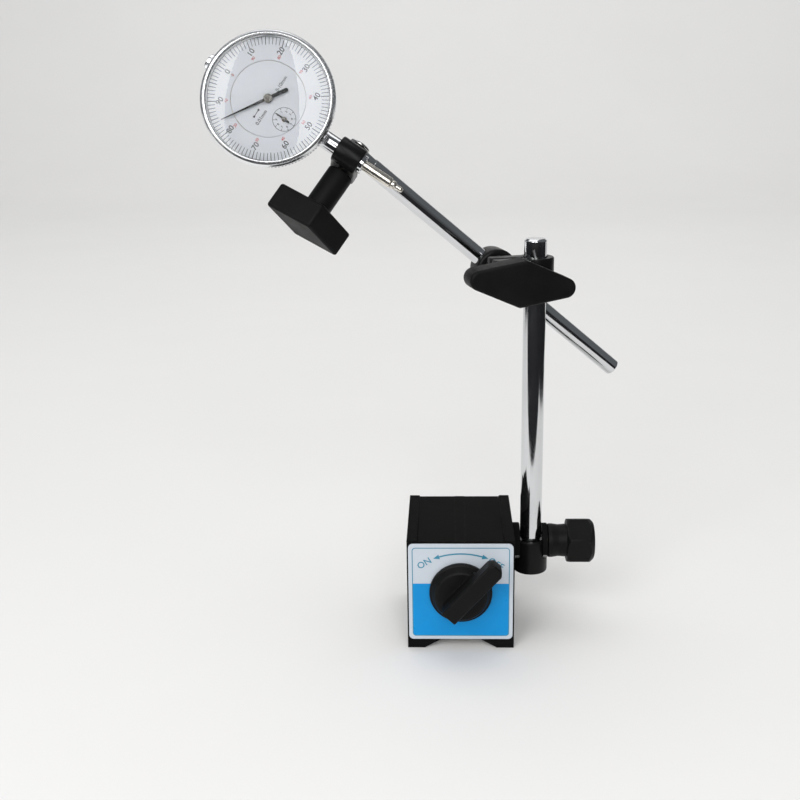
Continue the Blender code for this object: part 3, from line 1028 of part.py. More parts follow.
HAND_HOLE = circle(0.0, 0.0, PIVOT_HOLE, TINY_ROUND)
main_outline = belt([(MAIN_HAND_LENGTH - HAND_TIP, 0.0, HAND_TIP), (0.0, 0.0, HAND_EYE_RADIUS),
                     (-MAIN_HAND_TAIL + HAND_TAIL_RADIUS, 0.0, HAND_TAIL_RADIUS),
                     (0.0, 0.0, HAND_EYE_RADIUS)])
extruded("main_hand", MAIN, [main_outline, HAND_HOLE], MAIN_HAND_THICKNESS, "hand_black",
         turn("Z", MAIN_HAND_ANGLE) @ shift(z=MAIN_HAND_BACK + MAIN_HAND_THICKNESS / 2))
counter_outline = belt([(COUNTER_HAND_LENGTH - HAND_TIP, 0.0, HAND_TIP), (0.0, 0.0, COUNTER_HAND_HUB),
                        (-COUNTER_HAND_TAIL, 0.0, 2 * HAND_TIP), (0.0, 0.0, COUNTER_HAND_HUB)])
extruded("counter_hand", SMALL, [counter_outline, HAND_HOLE], COUNTER_HAND_THICKNESS, "hand_black",
         turn("Z", COUNTER_HAND_ANGLE) @ shift(z=COUNTER_HAND_BACK + COUNTER_HAND_THICKNESS / 2))


def settle():
    """Move the whole stand so the origin lies under the middle of its bounding box."""
    bpy.context.view_layer.update()
    graph = bpy.context.evaluated_depsgraph_get()
    points = []
    for obj in PARTS.objects:
        if obj.type in {"MESH", "CURVE"}:
            evaluated = obj.evaluated_get(graph)
            mesh = evaluated.to_mesh()
            points += [obj.matrix_world @ vert.co for vert in mesh.vertices]
            evaluated.to_mesh_clear()
    low = [min(point[axis] for point in points) for axis in range(3)]
    high = [max(point[axis] for point in points) for axis in range(3)]
    ROOT.location = (-(low[0] + high[0]) / 2, -(low[1] + high[1]) / 2, -low[2])
    bpy.context.view_layer.update()


settle()
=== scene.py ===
"""Dial indicator on a switched magnetic base: its finished pieces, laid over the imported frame."""
import json
import math

import bmesh
import bpy
from mathutils import Matrix, Vector


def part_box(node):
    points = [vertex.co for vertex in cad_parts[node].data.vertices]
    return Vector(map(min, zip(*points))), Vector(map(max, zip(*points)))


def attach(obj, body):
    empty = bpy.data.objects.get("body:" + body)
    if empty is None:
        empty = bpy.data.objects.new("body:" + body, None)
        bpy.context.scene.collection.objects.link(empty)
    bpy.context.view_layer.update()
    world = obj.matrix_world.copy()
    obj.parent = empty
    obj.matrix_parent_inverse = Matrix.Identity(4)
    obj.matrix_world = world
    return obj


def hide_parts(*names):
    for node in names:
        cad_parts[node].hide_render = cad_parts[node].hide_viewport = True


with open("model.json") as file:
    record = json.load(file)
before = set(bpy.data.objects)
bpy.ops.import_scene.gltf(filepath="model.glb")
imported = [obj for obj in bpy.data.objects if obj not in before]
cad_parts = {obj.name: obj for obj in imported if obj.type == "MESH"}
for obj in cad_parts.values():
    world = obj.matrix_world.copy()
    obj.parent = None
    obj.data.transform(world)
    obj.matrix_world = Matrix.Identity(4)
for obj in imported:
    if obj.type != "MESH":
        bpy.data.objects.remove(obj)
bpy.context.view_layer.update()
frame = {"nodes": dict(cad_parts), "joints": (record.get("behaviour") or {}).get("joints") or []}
scene = bpy.context.scene
scene.view_settings.view_transform = "Standard"

# Sizes of the object are in millimetres, in the local frame of the piece they belong to
MM = 0.001
WELD = 0.002
PRINT_WELD = WELD / 10
OVERCUT = 1.0
THROUGH = 40.0
ROUND = 96
FINE_ROUND = 128
CASE_ROUND = 160
SMALL_ROUND = 48
EDGE = 0.4
FINE_EDGE = 0.3
PRINT_LIFT = 0.04
PRINT_WEIGHT = 0.012
FLAT_AREA = 120 * MM * MM
SHARP_ANGLE = math.radians(35)
NODES = frame["nodes"]
JOINTS = {joint["name"]: joint for joint in frame["joints"]}
UP = Vector((0, 0, 1))
RIGHT = Vector((1, 0, 0))
TO_FRONT = Vector((0, -1, 0))


# Local frames
def seat(joint):
    return Vector(JOINTS[joint]["pos_m"])


def way(joint):
    return Vector(JOINTS[joint]["axis"]).normalized()


def framed(origin, x_way, z_way):
    """Local frame in millimetres: Z along z_way, X leaning along x_way."""
    z = z_way.normalized()
    x = (x_way - z * x_way.dot(z)).normalized()
    turn = Matrix((x, z.cross(x), z)).transposed().to_4x4()
    return Matrix.Translation(origin) @ turn @ Matrix.Scale(MM, 4)


def about(axis, degrees):
    return Matrix.Rotation(math.radians(degrees), 4, axis)


def shift(x=0.0, y=0.0, z=0.0):
    return Matrix.Translation((x, y, z))


def reach(node_name, local):
    """Lowest and highest corner of a frame node, in millimetres of a local frame."""
    inward = local.inverted()
    points = [inward @ vertex.co for vertex in NODES[node_name].data.vertices]
    low = Vector([min(point[side] for point in points) for side in range(3)])
    high = Vector([max(point[side] for point in points) for side in range(3)])
    return low, high


FRONT_LOW, FRONT_HIGH = [Vector(corner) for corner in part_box("front_plate")]
REAR_HIGH = Vector(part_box("rear_cover")[1])
BASE_MIDDLE = Vector(((FRONT_LOW.x + FRONT_HIGH.x) / 2, (FRONT_LOW.y + REAR_HIGH.y) / 2, 0))
LENGTHWISE = framed(BASE_MIDDLE, RIGHT, TO_FRONT)
PLATE_MIDDLE = (FRONT_LOW.z + FRONT_HIGH.z) / 2
PLATE = framed(Vector((BASE_MIDDLE.x, FRONT_LOW.y, PLATE_MIDDLE)), RIGHT, TO_FRONT)
REAR = framed(Vector((BASE_MIDDLE.x, REAR_HIGH.y, PLATE_MIDDLE)), -RIGHT, -TO_FRONT)
SWITCH_TURN = -42
SWITCH = framed(seat("switch_turn"), RIGHT, way("switch_turn")) @ about("Z", SWITCH_TURN)
HEX_TURN = 9
PIVOT = framed(seat("base_knob_turn"), -UP, way("base_knob_turn")) @ about("Z", HEX_TURN)
POST = framed(seat("post_tilt"), RIGHT, UP)
FORWARD = way("eye_turn")
ACROSS = (-FORWARD).cross(UP)
CLAMP = framed(Vector((*seat("post_tilt").xy, seat("eye_turn").z)), ACROSS, UP)
EYE = framed(seat("eye_turn"), ACROSS, FORWARD)
ARM_KNOB_TURN = -8
ARM_KNOB = EYE @ about("Z", ARM_KNOB_TURN)
ROD_WAY = way("rod_slide")
BOLT_UP = -way("dial_knob_turn")
STEM_WAY = way("dial_roll")
FACE_WAY = way("bezel_turn")
ROD = framed(seat("eye_turn"), ROD_WAY, BOLT_UP)
SWING = framed(seat("dial_swing"), STEM_WAY, BOLT_UP)
DIAL_KNOB_TURN = -14
DIAL_KNOB = framed(seat("dial_swing"), STEM_WAY, -BOLT_UP) @ about("Z", DIAL_KNOB_TURN)
DIAL = framed(seat("bezel_turn"), STEM_WAY, FACE_WAY)
STEM = framed(seat("bezel_turn"), FACE_WAY, STEM_WAY)
COUNTER = framed(seat("counter_hand_turn"), STEM_WAY, FACE_WAY)
ALONG_X = about("Y", 90)
ALONG_Y = about("X", 90)

# Shaping
STRAIGHT = math.radians(4)
RUN_SHARE = 0.48
BELT_STEP = 9.0


def arc(x, y, radius, start, end, count):
    """Points on a circle between two angles in degrees, ends included."""
    angles = [math.radians(start + (end - start) * step / count) for step in range(count + 1)]
    return [(x + radius * math.cos(angle), y + radius * math.sin(angle)) for angle in angles]


def belt(circles):
    """Outline of a belt drawn tight round circles named anticlockwise."""
    leaving = []
    for index, (x, y, radius) in enumerate(circles):
        far_x, far_y, far_radius = circles[(index + 1) % len(circles)]
        span = math.hypot(far_x - x, far_y - y)
        heading = math.atan2(far_y - y, far_x - x)
        leaving.append(math.degrees(heading - math.acos((radius - far_radius) / span)))
    outline = []
    for index, (x, y, radius) in enumerate(circles):
        start = leaving[index - 1]
        sweep = (leaving[index] - start) % 360
        outline += arc(x, y, radius, start, start + sweep, max(1, math.ceil(sweep / BELT_STEP)))
    return outline


def rounded_box(width, height, radius):
    x = width / 2 - radius
    y = height / 2 - radius
    return belt([(-x, -y, radius), (x, -y, radius), (x, y, radius), (-x, y, radius)])


def softened(path, radius, steps):
    """A profile whose inner corners are rounded off."""
    smooth = [path[0]]
    for before, corner, after in zip(path, path[1:], path[2:]):
        corner = Vector(corner)
        back = Vector(before) - corner
        ahead = Vector(after) - corner
        half = back.angle(ahead) / 2
        if math.pi / 2 - half < STRAIGHT:
            smooth.append(tuple(corner))
            continue
        run = min(radius / math.tan(half), RUN_SHARE * back.length, RUN_SHARE * ahead.length)
        inward = (back.normalized() + ahead.normalized()).normalized()
        middle = corner + inward * (run / math.cos(half))
        first = corner + back.normalized() * run - middle
        last = corner + ahead.normalized() * run - middle
        sweep = math.pi - 2 * half
        for step in range(steps + 1):
            share = step / steps
            blend = first * math.sin((1 - share) * sweep) + last * math.sin(share * sweep)
            smooth.append(tuple(middle + blend / math.sin(sweep)))
    return smooth + [path[-1]]


def stack(start, *steps, bore=0):
    """Stepped profile: each step is a radius and the height it runs to."""
    path = [(bore, start)]
    for radius, height in steps:
        path += [(radius, path[-1][1]), (radius, height)]
    return path + [(bore, path[-1][1])]


def chamfered(radius, chamfer, low, high):
    """Profile of a round bar with chamfered ends."""
    return [(0, low), (radius - chamfer, low), (radius, low + chamfer),
            (radius, high - chamfer), (radius - chamfer, high), (0, high)]


def turned(path, edge=0.0, steps=ROUND, closed=False, fine=4):
    """Shape spun about Z from (radius, height) points, its corners rounded to an edge."""
    if edge and closed:
        path = softened(path + path[:2], edge, fine)[1:-1]
    elif edge:
        path = softened(path, edge, fine)
    work = bmesh.new()
    points = [work.verts.new((radius, 0, height)) for radius, height in path]
    ends = points[1:] + points[:1] if closed else points[1:]
    edges = [work.edges.new(pair) for pair in zip(points, ends)]
    bmesh.ops.spin(work, geom=points + edges, axis=UP, cent=(0, 0, 0), dvec=(0, 0, 0),
                   angle=2 * math.pi, steps=steps, use_merge=True)
    return welded(work)


def welded(work):
    """Doubles merged, flat leftovers dropped and faces turned outwards."""
    bmesh.ops.remove_doubles(work, verts=work.verts, dist=WELD)
    bmesh.ops.dissolve_degenerate(work, edges=work.edges, dist=WELD / 2)
    bmesh.ops.recalc_face_normals(work, faces=work.faces)
    return work


def drawn_out(work, extruded, travel):
    moved = [part for part in extruded["geom"] if isinstance(part, bmesh.types.BMVert)]
    bmesh.ops.translate(work, vec=travel, verts=moved)


def slab(outline, low, high):
    """Outline raised to a flat plate between two heights."""
    work = bmesh.new()
    face = work.faces.new([work.verts.new((x, y, low)) for x, y in outline])
    raised = bmesh.ops.extrude_face_region(work, geom=[face], use_keep_orig=True)
    drawn_out(work, raised, (0, 0, high - low))
    return welded(work)


def eased(work, width, segments=3, keep=None):
    """Sharp edges rounded over; keep tells which of them stay sharp."""
    sharp = [edge for edge in work.edges if len(edge.link_faces) == 2
             and edge.calc_face_angle() > SHARP_ANGLE and not (keep and keep(edge))]
    bmesh.ops.bevel(work, geom=sharp, offset=width, offset_type="OFFSET", affect="EDGES",
                    segments=segments, profile=0.5, material=-1, clamp_overlap=True)
    return welded(work)


def placed(work, matrix):
    bmesh.ops.transform(work, matrix=matrix, verts=work.verts)
    return work


def mesh_of(name, work):
    mesh = bpy.data.meshes.new(name)
    work.to_mesh(mesh)
    work.free()
    return mesh


def shown(name, data):
    made = bpy.data.objects.new(name, data)
    scene.collection.objects.link(made)
    return made


def gathered(*works):
    """Several shapes brought into one, as they are."""
    whole = works[0]
    for work in works[1:]:
        mesh = mesh_of("shape", work)
        whole.from_mesh(mesh)
        bpy.data.meshes.remove(mesh)
    return whole


def carved(work, tool, how="DIFFERENCE"):
    """One shape cut by another, joined to it, or kept only inside it."""
    holders = [shown("shape", mesh_of("shape", part)) for part in (work, tool)]
    cut = holders[0].modifiers.new("cut", "BOOLEAN")
    cut.operation = how
    cut.solver = "EXACT"
    cut.object = holders[1]
    bpy.context.view_layer.update()
    result = bmesh.new()
    result.from_object(holders[0], bpy.context.evaluated_depsgraph_get())
    for holder in holders:
        mesh = holder.data
        bpy.data.objects.remove(holder)
        bpy.data.meshes.remove(mesh)
    return welded(result)


def bar(radius, low, high, edge=0.0, steps=ROUND):
    """Plain round bar along Z."""
    return turned(stack(low, (radius, high)), edge, steps)


def through(radius, place, steps=ROUND):
    """Round cutter along a place's Z, long enough to pass any piece."""
    return placed(bar(radius, -THROUGH, THROUGH, steps=steps), place)


def ring(outer, inner, low, high, edge=0.0, steps=ROUND):
    """Washer along Z."""
    return turned(stack(low, (outer, high), bore=inner), edge, steps, closed=True)


def block(work, place, size):
    """A box added to a shape."""
    bmesh.ops.create_cube(work, size=1.0, matrix=place @ Matrix.Diagonal((*size, 1)))
    return work


def ribbed(work, count, radius, height, size):
    """Ribs added round a shape."""
    for index in range(count):
        block(work, about("Z", 360 / count * index) @ shift(x=radius, z=height), size)
    return work


def lettering(words, size, spots):
    """Print raised from a face: each word made a mesh, then laid in its spot."""
    work = bmesh.new()
    for word, spot in zip(words, spots):
        curve = bpy.data.curves.new("print", "FONT")
        curve.body = word
        curve.size = size
        curve.extrude = PRINT_LIFT
        curve.offset = PRINT_WEIGHT * size
        curve.align_x = "CENTER"
        curve.align_y = "CENTER"
        curve.resolution_u = 4
        holder = shown("print", curve)
        bpy.context.view_layer.update()
        solid = holder.evaluated_get(bpy.context.evaluated_depsgraph_get())
        mesh = bpy.data.meshes.new_from_object(solid)
        bpy.data.objects.remove(holder)
        bpy.data.curves.remove(curve)
        mesh.transform(spot)
        work.from_mesh(mesh)
        bpy.data.meshes.remove(mesh)
    bmesh.ops.remove_doubles(work, verts=work.verts, dist=PRINT_WELD)
    return work


def strokes(boxes):
    """Printed strokes: each a flat bar given as (length, width, place)."""
    work = bmesh.new()
    for length, width, place in boxes:
        block(work, place, (length, width, 2 * PRINT_LIFT))
    return work


def printed_ring(radius, half, height):
    return ring(radius + half, radius - half, height - PRINT_LIFT, height + PRINT_LIFT, steps=FINE_ROUND)


def piece(name, work, matrix, finish, body, slot, *stands_for):
    """A shape laid in the frame as a finished piece that rides on a body."""
    mesh = mesh_of(name, placed(work, matrix))
    mesh.shade_smooth()
    mesh.set_sharp_from_angle(angle=SHARP_ANGLE)
    for face in mesh.polygons:
        face.use_smooth = face.area < FLAT_AREA
    mesh.materials.append(finish)
    made = shown(name, mesh)
    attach(made, body)
    if stands_for:
        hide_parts(*stands_for)


# Finishes
def node(tree, kind, inputs=None, **settings):
    """One shader node with its settings and its inputs, each a value or a socket."""
    made = tree.nodes.new(kind)
    for key, value in settings.items():
        setattr(made, key, value)
    for key, value in (inputs or {}).items():
        if isinstance(value, bpy.types.NodeSocket):
            tree.links.new(value, made.inputs[key])
        else:
            made.inputs[key].default_value = value
    return made


def reckoned(tree, operation, first, second):
    made = node(tree, "ShaderNodeMath", {0: first, 1: second}, operation=operation, use_clamp=True)
    return made.outputs[0]


def times(tree, first, second):
    return reckoned(tree, "MULTIPLY", first, second)


def between(tree, value, low, high, start=0.0, end=1.0):
    """A value mapped from one range to another, held at its ends."""
    sockets = {"Value": value, "From Min": low, "From Max": high, "To Min": start, "To Max": end}
    return node(tree, "ShaderNodeMapRange", sockets, clamp=True).outputs["Result"]


# Numbers of the mixing node's sockets for colours
MIX_SHARE = 0
MIX_FIRST = 6
MIX_SECOND = 7
MIX_RESULT = 2


def mixed(tree, share, first, second):
    """Colour blended from first to second."""
    sockets = {MIX_SHARE: share, MIX_FIRST: first, MIX_SECOND: second}
    return node(tree, "ShaderNodeMix", sockets, data_type="RGBA").outputs[MIX_RESULT]


def noise(tree, vector, scale, detail, rough=0.5):
    sockets = {"Vector": vector, "Scale": scale, "Detail": detail, "Roughness": rough}
    return node(tree, "ShaderNodeTexNoise", sockets).outputs["Fac"]


def normal_in(tree):
    return node(tree, "ShaderNodeNewGeometry").outputs["Normal"]


def upright_part(tree):
    return node(tree, "ShaderNodeSeparateXYZ", {"Vector": normal_in(tree)}).outputs["Z"]


def effect(name, outputs, inputs):
    """An empty shader group with named value sockets and a vector to read from."""
    group = bpy.data.node_groups.new(name, "ShaderNodeTree")
    group.interface.new_socket("Vector", in_out="INPUT", socket_type="NodeSocketVector")
    for label, value in inputs.items():
        socket = group.interface.new_socket(label, in_out="INPUT", socket_type="NodeSocketFloat")
        socket.default_value = value
    for label in outputs:
        group.interface.new_socket(label, in_out="OUTPUT", socket_type="NodeSocketFloat")
    return group, group.nodes.new("NodeGroupInput").outputs, group.nodes.new("NodeGroupOutput").inputs


def grain_effect():
    """Slow clouds and fine specks of a coated or moulded surface."""
    scales = {"Cloud Scale": 60.0, "Speck Scale": 1500.0}
    group, given, wanted = effect("surface_grain", ["Cloud", "Speck"], scales)
    cloud = noise(group, given["Vector"], given["Cloud Scale"], detail=4.0, rough=0.6)
    speck = noise(group, given["Vector"], given["Speck Scale"], detail=2.0)
    group.links.new(between(group, cloud, low=0.3, high=0.7), wanted["Cloud"])
    group.links.new(speck, wanted["Speck"])
    return group


def scratch_effect():
    """Hair-fine scratches that run along the vector's Z."""
    sizes = {"Fineness": 2500.0, "Run": 0.02, "Share": 0.3}
    group, given, wanted = effect("hair_scratches", ["Mask"], sizes)
    squeeze = node(group, "ShaderNodeCombineXYZ", {"X": 1.0, "Y": 1.0, "Z": given["Run"]}).outputs["Vector"]
    drawn = node(group, "ShaderNodeVectorMath", {0: given["Vector"], 1: squeeze}, operation="MULTIPLY")
    hairs = noise(group, drawn.outputs["Vector"], given["Fineness"], detail=3.0, rough=0.65)
    line = between(group, hairs, low=0.55, high=0.75)
    group.links.new(times(group, line, given["Share"]), wanted["Mask"])
    return group


def rub_effect():
    """Lighter colour along proud edges, broken up in patches: partly paint rubbed thin by handling, partly
    a painted highlight.
    """
    group, given, wanted = effect("worn_highlit_edges", ["Mask"], {"Reach": 0.0009, "Break Scale": 250.0})
    rounded = node(group, "ShaderNodeBevel", {"Radius": given["Reach"]}, samples=4).outputs["Normal"]
    pair = {0: rounded, 1: normal_in(group)}
    likeness = node(group, "ShaderNodeVectorMath", pair, operation="DOT_PRODUCT")
    edge = between(group, likeness.outputs["Value"], low=0.985, high=0.9)
    patches = noise(group, given["Vector"], given["Break Scale"], detail=5.0, rough=0.7)
    broken = between(group, patches, low=0.45, high=0.62)
    group.links.new(times(group, edge, broken), wanted["Mask"])
    return group


def dust_effect():
    """Dust settled on faces that look up."""
    group, given, wanted = effect("settled_dust", ["Mask"], {"Patch Scale": 90.0, "Amount": 0.3})
    facing = between(group, upright_part(group), low=0.4, high=0.95)
    patches = noise(group, given["Vector"], given["Patch Scale"], detail=6.0, rough=0.7)
    laid = times(group, facing, between(group, patches, low=0.35, high=0.75))
    group.links.new(times(group, laid, given["Amount"]), wanted["Mask"])
    return group


def pit_effect():
    """Small dull specks in a plated or polished face."""
    group, given, wanted = effect("plating_specks", ["Mask"], {"Spacing": 700.0, "Size": 0.16})
    cells = node(group, "ShaderNodeTexVoronoi", {"Vector": given["Vector"], "Scale": given["Spacing"]})
    dot = reckoned(group, "LESS_THAN", cells.outputs["Distance"], given["Size"])
    spread = noise(group, given["Vector"], scale=120.0, detail=3.0)
    group.links.new(times(group, dot, between(group, spread, low=0.5, high=0.6)), wanted["Mask"])
    return group


GRAIN = grain_effect()
SCRATCHES = scratch_effect()
EDGE_WEAR_HIGHLIGHT = rub_effect()
DUST = dust_effect()
SPECKS = pit_effect()


class Finish:
    """A material under construction: its tree, its shader and its Object coordinates."""

    def __init__(self, name, **constants):
        self.material = bpy.data.materials.new(name)
        self.material.use_nodes = True
        self.tree = self.material.node_tree
        self.shader = self.tree.nodes["Principled BSDF"]
        self.place = node(self.tree, "ShaderNodeTexCoord").outputs["Object"]
        for socket, value in constants.items():
            self.shader.inputs[socket.replace("_", " ")].default_value = value

    def add(self, group, vector=None, **values):
        """A shared effect placed in this finish; gives its outputs."""
        made = node(self.tree, "ShaderNodeGroup", node_tree=group)
        self.tree.links.new(vector or self.place, made.inputs["Vector"])
        for label, value in values.items():
            made.inputs[label.replace("_", " ")].default_value = value
        return made.outputs

    def along(self, direction):
        """Object coordinates turned so that Z runs along a direction."""
        turn = Vector(direction).rotation_difference(UP).to_euler()
        sockets = {"Vector": self.place, "Rotation": turn}
        return node(self.tree, "ShaderNodeMapping", sockets).outputs["Vector"]

    def feed(self, socket, source):
        self.tree.links.new(source, self.shader.inputs[socket])

    def dull(self, mask, rough):
        """Roughness spread between two values by a mask."""
        self.feed("Roughness", between(self.tree, mask, 0.0, 1.0, *rough))

    def relief(self, height, strength, depth):
        """Fine relief from a height mask, its depth in millimetres."""
        sockets = {"Height": height, "Strength": strength, "Distance": depth * MM}
        self.feed("Normal", node(self.tree, "ShaderNodeBump", sockets).outputs["Normal"])


def grey(value, tint=(1.0, 1.0, 1.0)):
    return (*[value * channel for channel in tint], 1.0)


# Colours of the black coats: clean tones, lighter edges (partly rubbed paint, partly painted highlight),
# dust, and the base's ground faces
PAINT_TONES = (grey(0.005), grey(0.0065))
PAINT_WORN_HIGHLIT = grey(0.08)
PAINT_DUST = grey(0.16, (1.0, 0.98, 0.95))
PAINT_RUB_HIGHLIGHT = 0.12
GROUND_TONES = (grey(0.42), grey(0.3))
MOULD_TONES = (grey(0.0045), grey(0.006))
MOULD_WORN_HIGHLIT = grey(0.045)
MOULD_DUST = grey(0.14)
MOULD_RUB_HIGHLIGHT = 0.5


def black_paint(name, gloss, rough, ground=False):
    """Black stove enamel over steel; the ground faces below are left bare."""
    made = Finish(name, Specular_IOR_Level=gloss)
    tree = made.tree
    grain = made.add(GRAIN, Cloud_Scale=70.0, Speck_Scale=1400.0)
    rub_highlight = made.add(EDGE_WEAR_HIGHLIGHT, Break_Scale=300.0)["Mask"]
    dust = made.add(DUST, Amount=0.006)["Mask"]
    dusted = mixed(tree, dust, mixed(tree, grain["Cloud"], *PAINT_TONES), PAINT_DUST)
    # Lighter edges: partly rubbed paint, partly a painted highlight on the proud edges
    colour = mixed(tree, times(tree, rub_highlight, PAINT_RUB_HIGHLIGHT), dusted, PAINT_WORN_HIGHLIT)
    if ground:
        bare = between(tree, upright_part(tree), low=-0.55, high=-0.6)
        lines = made.add(SCRATCHES, made.along(-TO_FRONT), Fineness=1800.0, Share=1.0)["Mask"]
        colour = mixed(tree, bare, colour, mixed(tree, lines, *GROUND_TONES))
        made.feed("Metallic", bare)
    made.feed("Base Color", colour)
    made.dull(grain["Cloud"], rough)
    made.relief(grain["Speck"], strength=0.22, depth=0.08)
    return made.material


def moulded_black(name, gloss, rough):
    """Black moulded plastic with a fine spark-eroded texture and lighter edges, partly worn and partly a
    painted highlight.
    """
    made = Finish(name, Specular_IOR_Level=gloss)
    tree = made.tree
    grain = made.add(GRAIN, Cloud_Scale=110.0, Speck_Scale=2600.0)
    rub_highlight = made.add(EDGE_WEAR_HIGHLIGHT, Break_Scale=420.0)["Mask"]
    dust = made.add(DUST, Patch_Scale=300.0, Amount=0.008)["Mask"]
    clean = mixed(tree, grain["Cloud"], *MOULD_TONES)
    # Lighter edges: partly wear, partly a painted highlight on the proud edges
    worn_highlit = mixed(tree, times(tree, rub_highlight, MOULD_RUB_HIGHLIGHT), clean, MOULD_WORN_HIGHLIT)
    made.feed("Base Color", mixed(tree, dust, worn_highlit, MOULD_DUST))
    made.dull(grain["Cloud"], rough)
    made.relief(grain["Speck"], strength=0.3, depth=0.06)
    return made.material


# How far plating and drawn metal darken, and how much a scratch dulls plating
PLATE_TINT = (0.99, 1.0, 1.02)
PLATE_CLOUD = 0.93
PLATE_PIT = 0.35
PLATE_SCRATCH = 0.18
DRAWN_LINE = 0.78


def plated(name, direction, tone=0.72, rough=(0.05, 0.13), specks=0.35):
    """Bright plating with polishing lines, finger marks and dull specks."""
    made = Finish(name, Metallic=1.0)
    tree = made.tree
    grain = made.add(GRAIN, Cloud_Scale=45.0, Speck_Scale=900.0)
    lines = made.add(SCRATCHES, made.along(direction), Share=0.6)["Mask"]
    pits = times(tree, made.add(SPECKS)["Mask"], specks)
    bright = mixed(tree, grain["Cloud"], grey(tone, PLATE_TINT), grey(tone * PLATE_CLOUD, PLATE_TINT))
    made.feed("Base Color", mixed(tree, pits, bright, grey(tone * PLATE_PIT, PLATE_TINT)))
    smear = between(tree, grain["Cloud"], 0.0, 1.0, *rough)
    made.feed("Roughness", reckoned(tree, "ADD", smear, times(tree, lines, PLATE_SCRATCH)))
    made.relief(lines, strength=0.06, depth=0.02)
    return made.material


def brushed(name, direction, tone, rough=(0.24, 0.36), tint=(1.0, 0.99, 0.97)):
    """Bare or satin metal with a drawn grain."""
    made = Finish(name, Metallic=1.0)
    grain = made.add(GRAIN, Cloud_Scale=120.0)
    lines = made.add(SCRATCHES, made.along(direction), Fineness=1600.0, Share=1.0)["Mask"]
    made.feed("Base Color", mixed(made.tree, lines, grey(tone, tint), grey(tone * DRAWN_LINE, tint)))
    made.dull(grain["Cloud"], rough)
    made.relief(lines, strength=0.12, depth=0.03)
    return made.material


def enamel(name, colour, shade=0.9, rough=(0.25, 0.36), speck=1200.0, gloss=0.5):
    """Printed or stoved colour coat, slightly uneven."""
    made = Finish(name, Specular_IOR_Level=gloss)
    grain = made.add(GRAIN, Cloud_Scale=60.0, Speck_Scale=speck)
    dark = [channel * shade for channel in colour]
    made.feed("Base Color", mixed(made.tree, grain["Cloud"], (*colour, 1.0), (*dark, 1.0)))
    made.dull(grain["Cloud"], rough)
    made.relief(grain["Speck"], strength=0.08, depth=0.03)
    return made.material


def clear_glass(name, wiped=(0.985, 0.99, 0.99, 1.0)):
    """Clear dial crystal with faint wiping marks."""
    made = Finish(name, Transmission_Weight=1.0, IOR=1.49)
    grain = made.add(GRAIN, Cloud_Scale=55.0, Speck_Scale=700.0)
    made.feed("Base Color", mixed(made.tree, grain["Cloud"], grey(1.0), wiped))
    made.feed("Roughness", between(made.tree, grain["Cloud"], low=0.55, high=1.0, end=0.02))
    return made.material


BASE_PAINT = black_paint("base_black_enamel", gloss=0.02, rough=(0.55, 0.62), ground=True)
CLAMP_PAINT = black_paint("clamp_black_enamel", gloss=0.12, rough=(0.26, 0.34))
KNOB_BLACK = moulded_black("knob_moulded_black", gloss=0.11, rough=(0.42, 0.54))
POST_CHROME = plated("post_chrome", UP)
ROD_CHROME = plated("rod_chrome", ROD_WAY)
STEM_CHROME = plated("stem_chrome", STEM_WAY, specks=0.2)
BEZEL_CHROME = plated("bezel_chrome", FACE_WAY, tone=0.92, rough=(0.2, 0.28), specks=0.15)
CASE_SATIN = brushed("case_satin_chrome", FACE_WAY, tone=0.6, tint=(0.98, 1.0, 1.02))
BRIGHT_STEEL = brushed("bright_steel", STEM_WAY, tone=0.62, rough=(0.16, 0.28))
PLUNGER_STEEL = brushed("plunger_warm_steel", STEM_WAY, tone=0.8, rough=(0.2, 0.3), tint=(1.0, 0.95, 0.86))
DARK_STEEL = brushed("blackened_steel", BOLT_UP, tone=0.06, rough=(0.3, 0.42))
BRASS = brushed("turned_brass", FACE_WAY, tone=0.62, tint=(1.0, 0.78, 0.42))
HUB_METAL = brushed("hub_grey_metal", STEM_WAY, tone=0.11, rough=(0.25, 0.35), tint=(1.0, 0.97, 0.9))
MAGNET_GREY = brushed("magnet_alloy", UP, tone=0.2, rough=(0.4, 0.55))
PLATE_WHITE = enamel("plate_white_enamel", (0.5, 0.545, 0.6), shade=0.94, gloss=0.3)
PLATE_BLUE = enamel("plate_blue_print", (0.003, 0.245, 0.59), gloss=0.2)
PLATE_TEAL = enamel("plate_teal_print", (0.03, 0.22, 0.33), shade=0.85)
FACE_WHITE = enamel("dial_white_enamel", (0.89, 0.915, 0.97), shade=0.97, rough=(0.3, 0.42), speck=2200.0)
INK_BLACK = enamel("dial_black_print", (0.02, 0.022, 0.03), shade=0.8, rough=(0.4, 0.5))
INK_RED = enamel("dial_red_print", (0.6, 0.09, 0.09), shade=0.85, rough=(0.4, 0.5))
HAND_BLACK = enamel("hand_black_lacquer", (0.008, 0.009, 0.012), shade=0.8, rough=(0.2, 0.3))
CRYSTAL = clear_glass("dial_crystal")

